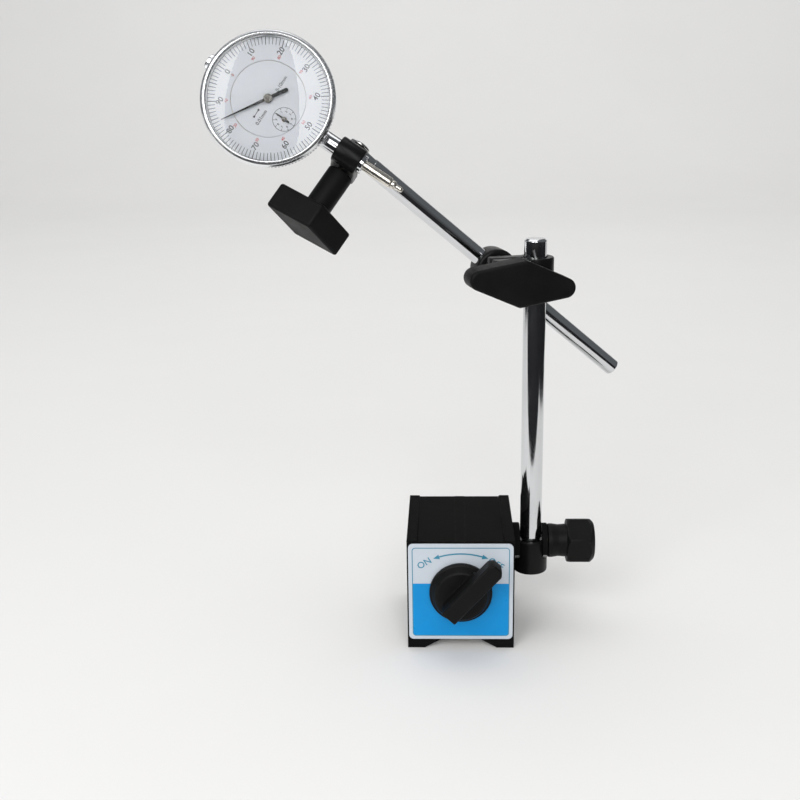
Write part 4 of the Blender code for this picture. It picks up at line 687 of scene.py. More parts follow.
# Finish of every frame node, shown or not
SCREW_NODES = ["cover_screw_1", "cover_screw_2", "cover_screw_3", "cover_screw_4"]
NODE_FINISH = {
    BASE_PAINT: ["pole_block_left", "pole_block_right", "rear_cover"],
    PLATE_WHITE: ["front_plate"],
    BRASS: ["brass_strip_upper", "brass_strip_lower", "base_knob_insert", "arm_knob_insert",
            "dial_knob_insert", "movement_plate", "movement_bridge", "rack_wheel", "hairspring_wheel",
            "centre_pinion"],
    CLAMP_PAINT: ["post_socket", "post_clamp", "eye_bolt", "stem_clamp"],
    DARK_STEEL: ["pivot_stud", "pivot_boss", "pivot_washer", "eye_spacer"],
    KNOB_BLACK: ["switch_knob", "base_clamp_knob", "arm_knob", "dial_knob"],
    POST_CHROME: ["post"],
    ROD_CHROME: ["cross_rod"],
    STEM_CHROME: ["stem", "upper_bush", "plunger_cap"],
    PLUNGER_STEEL: ["plunger", "contact_point"],
    BEZEL_CHROME: ["bezel"],
    CASE_SATIN: ["dial_case", "back_cover"],
    BRIGHT_STEEL: ["switch_shaft", "dial_clamp_bolt", "guide_fork", "guide_pin", "return_spring",
                   *SCREW_NODES],
    MAGNET_GREY: ["magnet_rotor"],
    FACE_WHITE: ["centre_disc", "scale_ring"],
    HAND_BLACK: ["main_hand", "counter_hand"],
    CRYSTAL: ["crystal"],
}
for finish, names in NODE_FINISH.items():
    for name in names:
        NODES[name].data.materials.clear()
        NODES[name].data.materials.append(finish)


# Magnetic base
STRIP_HALF = 2.3
FOOT_WIDTH = 8.0
GROOVE_HEIGHT = 8.49
TOP_LIP = 5.0
TOP_RELIEF = 0.6
ROTOR_BORE = 13.9
BASE_EDGE = 0.8
STUD_HOLE = 3.3
STUD_DEPTH = 11.3


def pole_piece(side, node_name):
    """Pole block: foot, groove flank, lip, half of the rotor's bore and, at the right, the stud's hole."""
    low, high = reach(node_name, LENGTHWISE)
    half = max(abs(low.x), high.x)
    step = high.y - TOP_RELIEF
    outline = [(STRIP_HALF, step), (STRIP_HALF, GROOVE_HEIGHT), (half - FOOT_WIDTH, 0), (half, 0),
               (half, high.y), (half - TOP_LIP, high.y), (half - TOP_LIP, step)]
    work = slab([(side * x, y) for x, y in outline], low.z, high.z)

    def at_strip(edge):
        return all(abs(vertex.co.x) < STRIP_HALF + WELD for vertex in edge.verts)

    eased(work, BASE_EDGE, keep=at_strip)
    work = carved(work, through(ROTOR_BORE, shift(y=seat("switch_turn").z / MM)))
    if side > 0:
        work = carved(work, placed(bar(STUD_HOLE, -STUD_DEPTH, OVERCUT), LENGTHWISE.inverted() @ PIVOT))
    return work


for side, pole_node in ((-1, "pole_block_left"), (1, "pole_block_right")):
    pole = pole_piece(side, pole_node)
    piece("base_" + pole_node, pole, LENGTHWISE, BASE_PAINT, "base", "black_paint", pole_node)
strip_low, strip_high = reach("brass_strip_upper", LENGTHWISE)
strip_outline = [(-STRIP_HALF, strip_low.y), (STRIP_HALF, strip_low.y),
                 (STRIP_HALF, strip_high.y), (-STRIP_HALF, strip_high.y)]
strip = slab(strip_outline, strip_low.z, strip_high.z)
piece("base_strip_painted", strip, LENGTHWISE, BASE_PAINT, "base", "black_paint", "brass_strip_upper")

# Front plate and its print, drawn from the plate's middle
PLATE_WIDTH = (FRONT_HIGH.x - FRONT_LOW.x) / MM
PLATE_HEIGHT = (FRONT_HIGH.z - FRONT_LOW.z) / MM
PLATE_THICKNESS = (FRONT_HIGH.y - FRONT_LOW.y) / MM
PLATE_CORNER = 2.2
PLATE_EDGE = 0.2
LINE_INSET = 1.7
LINE_WIDTH = 0.4
LINE_CORNER = 1.6
FIELD_TOP = 4.4
FIELD_CORNER = 1.2
CORNER_STEPS = 6
ARROW_RADIUS = 34.0
ARROW_APEX = 19.4
ARROW_HALF = 17.0
ARROW_WIDTH = 0.7
ARROW_STEPS = 24
HEAD_HALF = 1.21
HEAD_LENGTH = 2.86
WORD_SIZE = 4.4
PLATE_WORDS = {"ON": (-16.8, 14.6, 32), "OFF": (16.2, 14.4, -32)}
SHAFT_HOLE = 4.3
plate_shape = rounded_box(PLATE_WIDTH, PLATE_HEIGHT, PLATE_CORNER)
switch_spot = PLATE.inverted() @ seat("switch_turn")


def drilled(work):
    """Plate work with the switch shaft's hole through it."""
    return carved(work, through(SHAFT_HOLE, shift(switch_spot.x, switch_spot.y)))


def sheet():
    return eased(slab(plate_shape, -PLATE_THICKNESS, 0), PLATE_EDGE)


def printed(outline):
    return slab(outline, -PRINT_LIFT, PRINT_LIFT)


def plate_line():
    """Thin frame line printed round the plate."""
    wide = PLATE_WIDTH - 2 * LINE_INSET
    tall = PLATE_HEIGHT - 2 * LINE_INSET
    inner = rounded_box(wide - 2 * LINE_WIDTH, tall - 2 * LINE_WIDTH, LINE_CORNER - LINE_WIDTH)
    return carved(printed(rounded_box(wide, tall, LINE_CORNER)), slab(inner, -OVERCUT, OVERCUT))


def plate_field():
    """Lower colour field, square above and round-cornered below."""
    half = PLATE_WIDTH / 2 - LINE_INSET - LINE_WIDTH
    low = LINE_INSET + LINE_WIDTH - PLATE_HEIGHT / 2 + FIELD_CORNER
    outline = [(half, FIELD_TOP), (-half, FIELD_TOP)]
    outline += arc(FIELD_CORNER - half, low, FIELD_CORNER, 180, 270, CORNER_STEPS)
    outline += arc(half - FIELD_CORNER, low, FIELD_CORNER, 270, 360, CORNER_STEPS)
    return drilled(printed(outline))


def plate_arrow():
    """Curved arrow with a head at each end."""
    centre = ARROW_APEX - ARROW_RADIUS
    start = 90 - ARROW_HALF
    end = 90 + ARROW_HALF
    outer = arc(0, centre, ARROW_RADIUS + ARROW_WIDTH / 2, start, end, ARROW_STEPS)
    inner = arc(0, centre, ARROW_RADIUS - ARROW_WIDTH / 2, end, start, ARROW_STEPS)
    work = printed(outer + inner)
    for side in (-1, 1):
        head = [(0, HEAD_HALF), (0, -HEAD_HALF), (side * HEAD_LENGTH, 0)]
        place = shift(y=centre) @ about("Z", -side * ARROW_HALF) @ shift(y=ARROW_RADIUS)
        work = gathered(work, placed(printed(head), place))
    return work


piece("base_front_plate", drilled(sheet()), PLATE, PLATE_WHITE, "base", "front_plate", "front_plate")
piece("base_rear_cover", sheet(), REAR, BASE_PAINT, "base", "black_paint", "rear_cover")
piece("base_plate_line", plate_line(), PLATE, PLATE_TEAL, "base", "front_plate")
piece("base_plate_field", plate_field(), PLATE, PLATE_BLUE, "base", "front_plate")
piece("base_plate_arrow", plate_arrow(), PLATE, PLATE_TEAL, "base", "front_plate")
word_spots = [shift(x, y) @ about("Z", lean) for x, y, lean in PLATE_WORDS.values()]
plate_words = lettering(PLATE_WORDS, WORD_SIZE, word_spots)
piece("base_plate_words", plate_words, PLATE, PLATE_TEAL, "base", "front_plate")

# Magnet switch: stepped disc with a pointer bar across it
DISC_RADIUS = 14.6
DISC_RIM = 2.3
CONE_FOOT = 13.7
CONE_TOP = 12.0
CONE_EASE = 0.4
FACE_RADIUS = 11.2
FACE_HEIGHT = 6.0
BAR_WIDTH = 8.0
BAR_TAIL = 8.9
BAR_POINT_FLAT = 4.5
BAR_POINT_SLOPE = 2.1
BAR_LOW = 5.0
BAR_EDGE = 0.7
POINTER_ROOT = 13.5
POINTER_LOW = 8.2


def switch_handle():
    low, high = reach("switch_knob", SWITCH)
    path = [(0, low.z), (DISC_RADIUS, low.z), (DISC_RADIUS, DISC_RIM), (CONE_FOOT, DISC_RIM + CONE_EASE),
            (CONE_TOP, FACE_HEIGHT - CONE_EASE), (FACE_RADIUS, FACE_HEIGHT), (0, FACE_HEIGHT)]
    disc = turned(path, EDGE, FINE_ROUND)
    half = BAR_WIDTH / 2
    flat = BAR_POINT_FLAT / 2
    slope = high.y - BAR_POINT_SLOPE
    outline = [(-half, -BAR_TAIL), (half, -BAR_TAIL), (half, slope), (flat, high.y), (-flat, high.y),
               (-half, slope)]
    past = high.y + OVERCUT
    under = [(-BAR_WIDTH, POINTER_ROOT), (BAR_WIDTH, POINTER_ROOT), (BAR_WIDTH, past), (-BAR_WIDTH, past)]
    grip = carved(slab(outline, BAR_LOW, high.z), slab(under, 0, POINTER_LOW))
    return carved(disc, eased(grip, BAR_EDGE, segments=4), "UNION")


piece("switch_handle", switch_handle(), SWITCH, KNOB_BLACK, "switch", "black_plastic", "switch_knob")


# Post pivot
def spanning(node_name, matrix, outer, inner, edge):
    """Ring as long as a frame node."""
    low, high = reach(node_name, matrix)
    return ring(outer, inner, low.z, high.z, edge)


boss_ring = spanning("pivot_boss", PIVOT, outer=8.75, inner=STUD_HOLE, edge=0.5)
piece("pivot_boss_ring", boss_ring, PIVOT, BASE_PAINT, "base", "blackened_steel", "pivot_boss")
washer_ring = spanning("pivot_washer", PIVOT, outer=8.5, inner=STUD_HOLE, edge=EDGE)
piece("pivot_washer_ring", washer_ring, PIVOT, BASE_PAINT, "base", "blackened_steel", "pivot_washer")

NECK_RADIUS = 8.2
NECK_WAIST = 7.7
NECK_RIM = 2.0
NECK_MIDDLE = 5.0
NECK_LENGTH = 9.0
NECK_LAP = 2.0
NECK_EDGE = 0.6
HEX_SIDES = 6
HEX_RADIUS = 11.7
HEX_CORNER = 1.2
DOME_RADIUS = 11.9
DOME_FOOT = 10.5
DOME_CROWN = 8.7
DOME_RISE = 1.6
DOME_DROP = 3.4
DOME_EDGE = 2.4
INSERT_SEAT = 5.2
INSERT_DEPTH = 15.3


def base_hand_knob():
    """Six-sided grip with a domed end, drawn in to a round neck and bored for its insert."""
    low, high = reach("base_clamp_knob", PIVOT)
    belly = low.z + NECK_LENGTH
    inset = HEX_RADIUS - HEX_CORNER
    corners = [math.radians(360 / HEX_SIDES * index) for index in range(HEX_SIDES)]
    outline = belt([(inset * math.cos(a), inset * math.sin(a), HEX_CORNER) for a in corners])
    dome = [(0, belly), (DOME_FOOT, belly), (DOME_RADIUS, belly + DOME_RISE),
            (DOME_RADIUS, high.z - DOME_DROP), (DOME_CROWN, high.z), (0, high.z)]
    rounding = turned(dome, DOME_EDGE, FINE_ROUND, fine=8)
    grip = carved(slab(outline, belly, high.z), rounding, "INTERSECT")
    root = belly + NECK_LAP
    neck = [(0, low.z), (NECK_RADIUS, low.z), (NECK_RADIUS, low.z + NECK_RIM),
            (NECK_WAIST, low.z + NECK_MIDDLE), (NECK_RADIUS, root), (0, root)]
    whole = carved(grip, turned(neck, NECK_EDGE), "UNION")
    return carved(whole, bar(INSERT_SEAT, low.z - OVERCUT, low.z + INSERT_DEPTH))


base_knob = base_hand_knob()
piece("base_hand_knob", base_knob, PIVOT, KNOB_BLACK, "base_knob", "black_plastic", "base_clamp_knob")

# Post
post_low, post_high = reach("post", POST)
POST_RADIUS = 5.2
POST_CHAMFER = 1.0
SOCKET_BORE = 5.5
SOCKET_RADIUS = 8.2
SOCKET_HALF = 5.4
SOCKET_GAP = 0.3
SOCKET_EDGE = 0.7
SIDE_CUT = 9.05
post_bar = turned(chamfered(POST_RADIUS, POST_CHAMFER, post_low.z, post_high.z), EDGE)
post_bar = carved(post_bar, through(STUD_HOLE, ALONG_X))
piece("post_bar", post_bar, POST, POST_CHROME, "post", "chrome", "post")


def post_cup():
    """Cup that holds the post, its sides cut away for the boss and the washer."""
    low, high = reach("post_socket", POST)
    path = stack(low.z, (SOCKET_RADIUS, high.z), (SOCKET_BORE, post_low.z - SOCKET_GAP))
    cup = turned(path, SOCKET_EDGE)
    for start, end in ((-THROUGH, -SOCKET_HALF), (SOCKET_HALF, THROUGH)):
        cup = carved(cup, placed(bar(SIDE_CUT, start, end), ALONG_X))
    return carved(cup, through(STUD_HOLE, ALONG_X))


piece("post_cup", post_cup(), POST, CLAMP_PAINT, "post", "black_paint", "post_socket")
EAR_STEPS = 6
LOOP_STEPS = 48


def split_clamp(bore, outer, upper, lower, far, slit, low, high, corner, edge):
    """Split ring with two ears towards -X and a slit between them."""
    half = slit / 2
    first = math.degrees(math.asin(lower / outer)) - 180
    last = 180 - math.degrees(math.asin(upper / outer))
    outline = [(-far, -half)] + arc(corner - far, corner - lower, corner, 180, 270, EAR_STEPS)
    outline += arc(0, 0, outer, first, last, LOOP_STEPS)
    outline += arc(corner - far, upper - corner, corner, 90, 180, EAR_STEPS) + [(-far, half)]
    spread = 180 - math.degrees(math.asin(half / bore))
    outline += arc(0, 0, bore, spread, -spread, LOOP_STEPS)
    return eased(slab(outline, low, high), edge)


SHANK_HOLE = 3.3
clamp_low, clamp_high = reach("post_clamp", CLAMP)
post_grip = split_clamp(bore=5.5, outer=8.5, upper=7.0, lower=7.0, far=-clamp_low.x, slit=1.6,
                        low=clamp_low.z, high=clamp_high.z, corner=2.0, edge=0.7)
bolt_line = (EYE.translation - CLAMP.translation).dot(ACROSS) / MM
post_grip = carved(post_grip, through(SHANK_HOLE, shift(x=bolt_line) @ ALONG_Y))
piece("post_grip", post_grip, CLAMP, CLAMP_PAINT, "clamp", "black_paint", "post_clamp")

# Eye bolt and its hand knob
EYE_HALF = 6.5
EYE_RADIUS = 9.8
EYE_EDGE = 1.6
SHANK_RADIUS = 3.0
ROD_HOLE = 4.3
KNOB_EDGE = 1.2
KNOB_LAP = 1.5
KNOB_NECK_EDGE = 0.5


def eye_head():
    low, high = reach("eye_bolt", EYE)
    head = turned(stack(low.z, (EYE_RADIUS, EYE_HALF), (SHANK_RADIUS, high.z)), EYE_EDGE, fine=6)
    lean = EYE.inverted().to_quaternion() @ ROD_WAY
    return carved(head, through(ROD_HOLE, UP.rotation_difference(lean).to_matrix().to_4x4()))


def hand_knob(node_name, matrix, length, width, tip, side, neck_radius, neck_length, seat_radius, depth):
    """Lozenge grip on a round neck, its edges rounded over and its insert's seat bored."""
    low, high = reach(node_name, matrix)
    far = length / 2 - tip
    near = width / 2 - side
    outline = belt([(far, 0, tip), (0, near, side), (-far, 0, tip), (0, -near, side)])
    start = low.z + neck_length
    grip = eased(slab(outline, start, high.z), KNOB_EDGE, segments=4)
    neck = turned(stack(low.z, (neck_radius, start + KNOB_LAP)), KNOB_NECK_EDGE)
    return carved(carved(grip, neck, "UNION"), bar(seat_radius, low.z - OVERCUT, low.z + depth))


piece("eye_head", eye_head(), EYE, CLAMP_PAINT, "eye", "black_paint", "eye_bolt")
spacer_ring = spanning("eye_spacer", EYE, outer=7.0, inner=SHANK_HOLE, edge=EDGE)
piece("eye_spacer_ring", spacer_ring, EYE, DARK_STEEL, "eye", "blackened_steel", "eye_spacer")
arm_knob = hand_knob("arm_knob", ARM_KNOB, length=49, width=21, tip=4.5, side=2.5, neck_radius=6.5,
                     neck_length=4.4, seat_radius=5.2, depth=14.2)
piece("arm_hand_knob", arm_knob, ARM_KNOB, KNOB_BLACK, "arm_knob", "black_plastic", "arm_knob")

# Cross rod
ROD_RADIUS = 4.0
ROD_CHAMFER = 0.7
TONGUE_RADIUS = 4.8
TONGUE_HALF = 2.5
TONGUE_ROOT = 8.8
TONGUE_LAP = 3.0
BOLT_HOLE = 2.8


def cross_bar():
    """Round rod whose upper end is flattened to a drilled tongue."""
    low, high = reach("cross_rod", ROD)
    eye = low.x + TONGUE_RADIUS
    start = eye + TONGUE_ROOT
    round_part = placed(turned(chamfered(ROD_RADIUS, ROD_CHAMFER, start, high.x), FINE_EDGE), ALONG_X)
    flat = belt([(eye, 0, TONGUE_RADIUS), (start + TONGUE_LAP, 0, ROD_RADIUS - ROD_CHAMFER)])
    tongue = eased(slab(flat, -TONGUE_HALF, TONGUE_HALF), EDGE)
    return carved(carved(round_part, tongue, "UNION"), through(BOLT_HOLE, shift(x=eye)))


piece("cross_bar", cross_bar(), ROD, ROD_CHROME, "rod", "chrome", "cross_rod")

# Stem clamp
stem_line = SWING.inverted() @ DIAL.translation
STEM_LINE = SWING @ shift(y=stem_line.y, z=stem_line.z) @ about("Z", -90) @ ALONG_Y
CLAMP_HALF = 6.0
clamp_far = reach("stem_clamp", SWING)[1].y
stem_grip = split_clamp(bore=4.3, outer=5.9, upper=3.2, lower=5.4, far=clamp_far - stem_line.y, slit=1.2,
                        low=-CLAMP_HALF, high=CLAMP_HALF, corner=0.8, edge=0.6)
stem_grip = carved(stem_grip, through(BOLT_HOLE, shift(x=stem_line.y) @ ALONG_Y))
piece("stem_grip", stem_grip, STEM_LINE, CLAMP_PAINT, "stem_clamp", "black_paint", "stem_clamp")
BOLT_HEAD_RADIUS = 5.0
BOLT_HEAD_HEIGHT = 1.3
BOLT_RADIUS = 2.5
BOLT_SLOT = (14, 1.0, 1.2)


def clamp_bolt():
    """Low round-headed bolt with a driver slot."""
    low, high = reach("dial_clamp_bolt", SWING)
    path = stack(low.z, (BOLT_RADIUS, high.z - BOLT_HEAD_HEIGHT), (BOLT_HEAD_RADIUS, high.z))
    return carved(turned(path, EDGE), block(bmesh.new(), shift(z=high.z), BOLT_SLOT))


piece("clamp_bolt", clamp_bolt(), SWING, BRIGHT_STEEL, "stem_clamp", "steel", "dial_clamp_bolt")
dial_knob = hand_knob("dial_knob", DIAL_KNOB, length=37.3, width=26.5, tip=1.5, side=1.5, neck_radius=6.0,
                      neck_length=19.4, seat_radius=4.7, depth=15.3)
piece("dial_hand_knob", dial_knob, DIAL_KNOB, KNOB_BLACK, "dial_knob", "black_plastic", "dial_knob")

# Indicator case
CASE_RADIUS = 26.5
CASE_BORE = 24.5
CASE_OPENING = 19.0
CASE_FLOOR = 2.0
CASE_EDGE = 0.8
CASE_HOLE = 3.5
BOSS_FOOT = 5.6
BOSS_TOP = 5.2
BOSS_ROOT = CASE_RADIUS - 2.0
BOSS_END = CASE_RADIUS + 0.3
BOSS_ROUND = 64


def indicator_case():
    """Cup-shaped case, open behind, bossed where the stem and the bush enter."""
    low, high = reach("dial_case", DIAL)
    path = stack(low.z, (CASE_RADIUS, high.z), (CASE_BORE, low.z + CASE_FLOOR), bore=CASE_OPENING)
    shell = turned(path, CASE_EDGE, CASE_ROUND, closed=True)
    boss = [(0, BOSS_ROOT), (BOSS_FOOT, BOSS_ROOT), (BOSS_TOP, BOSS_END), (0, BOSS_END)]
    for degrees in (90, -90):
        shell = carved(shell, placed(turned(boss, FINE_EDGE, BOSS_ROUND), about("Y", degrees)), "UNION")
    return carved(shell, through(CASE_HOLE, ALONG_X))


COVER_RADIUS = 26.1
COVER_EDGE = 0.35
DISH_RIM = 16.5
DISH_FOOT = 16.0
DISH_DEPTH = 0.4
SCREW_CIRCLE = 20.8
SCREW_HOLE = 1.2
SCREW_HOLE_ROUND = 32
SCREW_SPOTS = [about("Z", 90 * index + 45) @ shift(x=SCREW_CIRCLE) for index in range(4)]
SCREW_RADIUS = 0.9
SCREW_HEAD = 1.9
SCREW_HEAD_HEIGHT = 1.0
SCREW_SLOT = (9, 0.5, 1.0)


def back_plate():
    """Back cover with a shallow dished middle and four screw holes."""
    low, high = reach("back_cover", DIAL)
    dish = low.z + DISH_DEPTH
    path = [(0, high.z), (COVER_RADIUS, high.z), (COVER_RADIUS, low.z), (DISH_RIM, low.z),
            (DISH_FOOT, dish), (0, dish)]
    work = turned(path, COVER_EDGE, CASE_ROUND)
    for spot in SCREW_SPOTS:
        work = carved(work, through(SCREW_HOLE, spot, SCREW_HOLE_ROUND))
    return work


piece("indicator_case", indicator_case(), DIAL, CASE_SATIN, "dial", "satin_chrome", "dial_case")
piece("indicator_back", back_plate(), DIAL, CASE_SATIN, "dial", "satin_chrome", "back_cover")
for screw_node, spot in zip(SCREW_NODES, SCREW_SPOTS):
    low, high = reach(screw_node, DIAL)
    path = stack(high.z, (SCREW_RADIUS, low.z + SCREW_HEAD_HEIGHT), (SCREW_HEAD, low.z))
    screw = turned(path, FINE_EDGE, SMALL_ROUND)
    screw = carved(screw, block(bmesh.new(), shift(z=low.z), SCREW_SLOT))
    piece("indicator_" + screw_node, screw, DIAL @ spot, BRIGHT_STEEL, "dial", "steel", screw_node)

# Stem, bush and plunger
PLUNGER_BORE = 2.6
SPIGOT_RADIUS = 3.2
STEM_RADIUS = 4.0
BUSH_RADIUS = 3.4
BUSH_EDGE = 0.2
low, high = reach("stem", STEM)
path = stack(low.z, (SPIGOT_RADIUS, BOSS_END), (STEM_RADIUS, high.z), bore=PLUNGER_BORE)
piece("indicator_stem", turned(path, EDGE, closed=True), STEM, STEM_CHROME, "dial", "chrome", "stem")
low, high = reach("upper_bush", STEM)
path = stack(high.z, (SPIGOT_RADIUS, -BOSS_END), (BUSH_RADIUS, low.z), bore=PLUNGER_BORE)
bush = turned(path, BUSH_EDGE, closed=True)
piece("indicator_bush", bush, STEM, STEM_CHROME, "dial", "chrome", "upper_bush")
PLUNGER_RADIUS = 2.3
PLUNGER_ROUND = 64
CONTACT_HOLE = 1.3
CONTACT_GAP = 0.2


def plunger_rod():
    """Racked stretch taken from the frame, carried on below the case by the ground rod that shows."""
    work = bmesh.new()
    work.from_mesh(NODES["plunger"].data)
    welded(placed(work, STEM.inverted()))
    bmesh.ops.bisect_plane(work, geom=work.verts[:] + work.edges[:] + work.faces[:], dist=WELD,
                           plane_co=(0, 0, BOSS_END), plane_no=UP, clear_outer=True)
    bmesh.ops.holes_fill(work, edges=work.edges)
    end = reach("plunger", STEM)[1].z
    hole_floor = reach("contact_point", STEM)[0].z - CONTACT_GAP
    path = stack(BOSS_END, (PLUNGER_RADIUS, end), (CONTACT_HOLE, hole_floor))
    return gathered(work, turned(path, EDGE, PLUNGER_ROUND))


CAP_BODY = 3.65
CAP_BORE = 1.7
CAP_TOP = 0.8
CAP_RIBS = 36
CAP_RIB = 0.3
CAP_RIB_SHARE = 0.6


def knurled_cap():
    """Cap screwed on the plunger's top, ribbed round its rim."""
    low, high = reach("plunger_cap", STEM)
    work = turned(stack(low.z, (CAP_BODY, high.z), (CAP_BORE, low.z + CAP_TOP)), FINE_EDGE)
    rib = (CAP_RIB, CAP_RIB, (high.z - low.z) * CAP_RIB_SHARE)
    return ribbed(work, CAP_RIBS, CAP_BODY, (low.z + high.z) / 2, rib)


CONTACT_SHANK = 1.1
CONTACT_RADIUS = 1.2
CONTACT_SHOULDER = 1.9
CONTACT_LENGTH = 6.0
SHOULDER_TOP = 1.4
SHOULDER_END = 2.4
TIP_SHARE = 0.7
TIP_HEIGHT = 0.35
CONTACT_EDGE = 0.25


def contact_tip():
    """Shouldered contact point with a round tip."""
    low, high = reach("contact_point", STEM)
    foot = high.z - CONTACT_LENGTH
    path = [(0, low.z), (CONTACT_SHANK, low.z), (CONTACT_SHANK, foot), (CONTACT_SHOULDER, foot),
            (CONTACT_SHOULDER, foot + SHOULDER_TOP), (CONTACT_RADIUS, foot + SHOULDER_END),
            (CONTACT_RADIUS, high.z - CONTACT_RADIUS), (CONTACT_RADIUS * TIP_SHARE, high.z - TIP_HEIGHT),
            (0, high.z)]
    return turned(path, CONTACT_EDGE, SMALL_ROUND)


piece("plunger_rod", plunger_rod(), STEM, PLUNGER_STEEL, "plunger", "steel", "plunger")
piece("plunger_button", knurled_cap(), STEM, STEM_CHROME, "plunger", "chrome", "plunger_cap")
piece("plunger_contact", contact_tip(), STEM, PLUNGER_STEEL, "plunger", "steel", "contact_point")

# Bezel, crystal and faces
bezel_low, bezel_high = reach("bezel", DIAL)
crystal_low, crystal_high = reach("crystal", DIAL)
face_low, face_high = reach("scale_ring", DIAL)
centre_low, centre_high = reach("centre_disc", DIAL)
BEZEL_RADIUS = 29.0
BEZEL_OPENING = 26.6
BEZEL_BORE = 27.3
BEZEL_SHOULDER = 28.9
BEZEL_LIP = 27.0
BEZEL_EDGE = 0.7
BEZEL_ROUND = 192
SHOULDER_RISE = 0.3
CROWN_DROP = 1.9
CROWN_EASE = 0.4
LIP_DROP = 0.35
CRYSTAL_GAP = 0.15
KNURL_RADIUS = 28.3
KNURL_TOP = 7.0
KNURL_COUNT = 120
KNURL_SLANT = 24
KNURL_DEPTH = 0.66
KNURL_WIDTH = 0.62


def bezel_ring():
    """Polished bezel: knurl seat at the back, round crown and a lip over the crystal."""
    top = bezel_high.z
    glass = crystal_high.z + CRYSTAL_GAP
    path = [(BEZEL_BORE, bezel_low.z), (KNURL_RADIUS, bezel_low.z), (KNURL_RADIUS, KNURL_TOP),
            (BEZEL_SHOULDER, KNURL_TOP + SHOULDER_RISE), (BEZEL_RADIUS, top - CROWN_DROP),
            (KNURL_RADIUS, top - CROWN_EASE), (BEZEL_LIP, top), (BEZEL_OPENING, top - LIP_DROP),
            (BEZEL_OPENING, glass), (BEZEL_BORE, glass)]
    return turned(path, BEZEL_EDGE, BEZEL_ROUND, closed=True, fine=5)


def bezel_knurl():
    """Slanted beads of the bezel's grip band."""
    work = bmesh.new()
    middle = (bezel_low.z + KNURL_TOP) / 2
    size = Matrix.Diagonal((KNURL_DEPTH, KNURL_WIDTH, (KNURL_TOP - bezel_low.z) / 2, 1))
    for index in range(KNURL_COUNT):
        spot = about("Z", 360 / KNURL_COUNT * index) @ shift(x=KNURL_RADIUS, z=middle)
        bead = spot @ about("X", KNURL_SLANT) @ size
        bmesh.ops.create_uvsphere(work, u_segments=8, v_segments=6, radius=1.0, matrix=bead)
    return work


CRYSTAL_RADIUS = 26.9
CRYSTAL_DOME = 0.45
SHADOW_RING_OUTER = 27.25
SHADOW_RING_INNER = 26.75
SHADOW_RING_GAP = 0.05
SHADOW_RING_EDGE = 0.1
SCALE_OUTER = 27.0
SCALE_INNER = 16.23
CENTRE_RADIUS = 16.07
CENTRE_LIFT = 0.1
FACE_EDGE = 0.08
ARBOR_HOLE = 1.1


def centre_face():
    """Fixed inner face with its two arbor holes."""
    work = bar(CENTRE_RADIUS, centre_low.z + CENTRE_LIFT, centre_high.z, FACE_EDGE, FINE_ROUND)
    counter = DIAL.inverted() @ COUNTER.translation
    for spot in (shift(), shift(counter.x, counter.y)):
        work = carved(work, through(ARBOR_HOLE, spot, SMALL_ROUND))
    return work


piece("bezel_ring", bezel_ring(), DIAL, BEZEL_CHROME, "bezel", "chrome", "bezel")
piece("bezel_knurl", bezel_knurl(), DIAL, BEZEL_CHROME, "bezel", "chrome")
slopes = [math.radians(degrees) for degrees in range(90, -1, -10)]
path = [(0, crystal_low.z), (CRYSTAL_RADIUS, crystal_low.z)]
path += [(CRYSTAL_RADIUS * math.sin(a), crystal_high.z + CRYSTAL_DOME * math.cos(a)) for a in slopes]
piece("bezel_crystal", turned(path, steps=FINE_ROUND), DIAL, CRYSTAL, "bezel", "crystal", "crystal")
# Black ring under the crystal: painted shade, a dark ring standing in for the shadow line between the
# bezel's lip and the face
shadow_ring = ring(SHADOW_RING_OUTER, SHADOW_RING_INNER, face_high.z + SHADOW_RING_GAP, crystal_low.z - SHADOW_RING_GAP,
              SHADOW_RING_EDGE, FINE_ROUND)
piece("bezel_shadow_ring", shadow_ring, DIAL, HAND_BLACK, "bezel", "black_plastic")
scale_face = ring(SCALE_OUTER, SCALE_INNER, face_low.z, face_high.z, FACE_EDGE, CASE_ROUND)
piece("scale_face", scale_face, DIAL, FACE_WHITE, "bezel", "dial_white", "scale_ring")
piece("centre_face", centre_face(), DIAL, FACE_WHITE, "dial", "dial_white", "centre_disc")

# Print on the faces
SCALE_MARKS = 100
TICK_IN = 22.9
TICK_OUT = 26.0
TICK_WIDTH = 0.22
FIFTH_WIDTH = 0.3
FIFTH_EXTRA = 0.2
TENTH_EXTRA = 0.5
RIM_LINE_HALF = 0.08
NUMBER_RADIUS = 20.7
NUMBER_SIZE = 3.3
RED_RADIUS = 18.0
RED_SIZE = 1.7
COUNTER_MARKS = 10
COUNTER_RADIUS = 5.0
COUNTER_TICK = 0.9
COUNTER_TICK_WIDTH = 0.18
COUNTER_NUMBER_RADIUS = 3.3
COUNTER_NUMBER_SIZE = 1.4
UNIT_SIZE = 2.2
UNITS = {"0.01mm": (1.9, -8.2), "0-10mm": (1.2, 8.3)}
SIGN_SPOT = (-0.9, -7.9)
SIGN_LINE = (3.2, 0.25)
SIGN_END = 0.8
SIGN_HALF = 1.7
UPRIGHT = about("Z", 90)
counter_face = (COUNTER.inverted() @ (DIAL @ Vector((0, 0, centre_high.z)))).z


def tick(degrees, inner, outer, width, height):
    spot = about("Z", degrees) @ shift((inner + outer) / 2, 0, height)
    return outer - inner, width, spot


def numbers(words, size, radius, height):
    """Figures round a dial, clockwise from its top, kept upright."""
    spots = [shift(x, y, height) @ UPRIGHT for x, y in arc(0, 0, radius, 180, -180, len(words))]
    return lettering(words, size, spots)


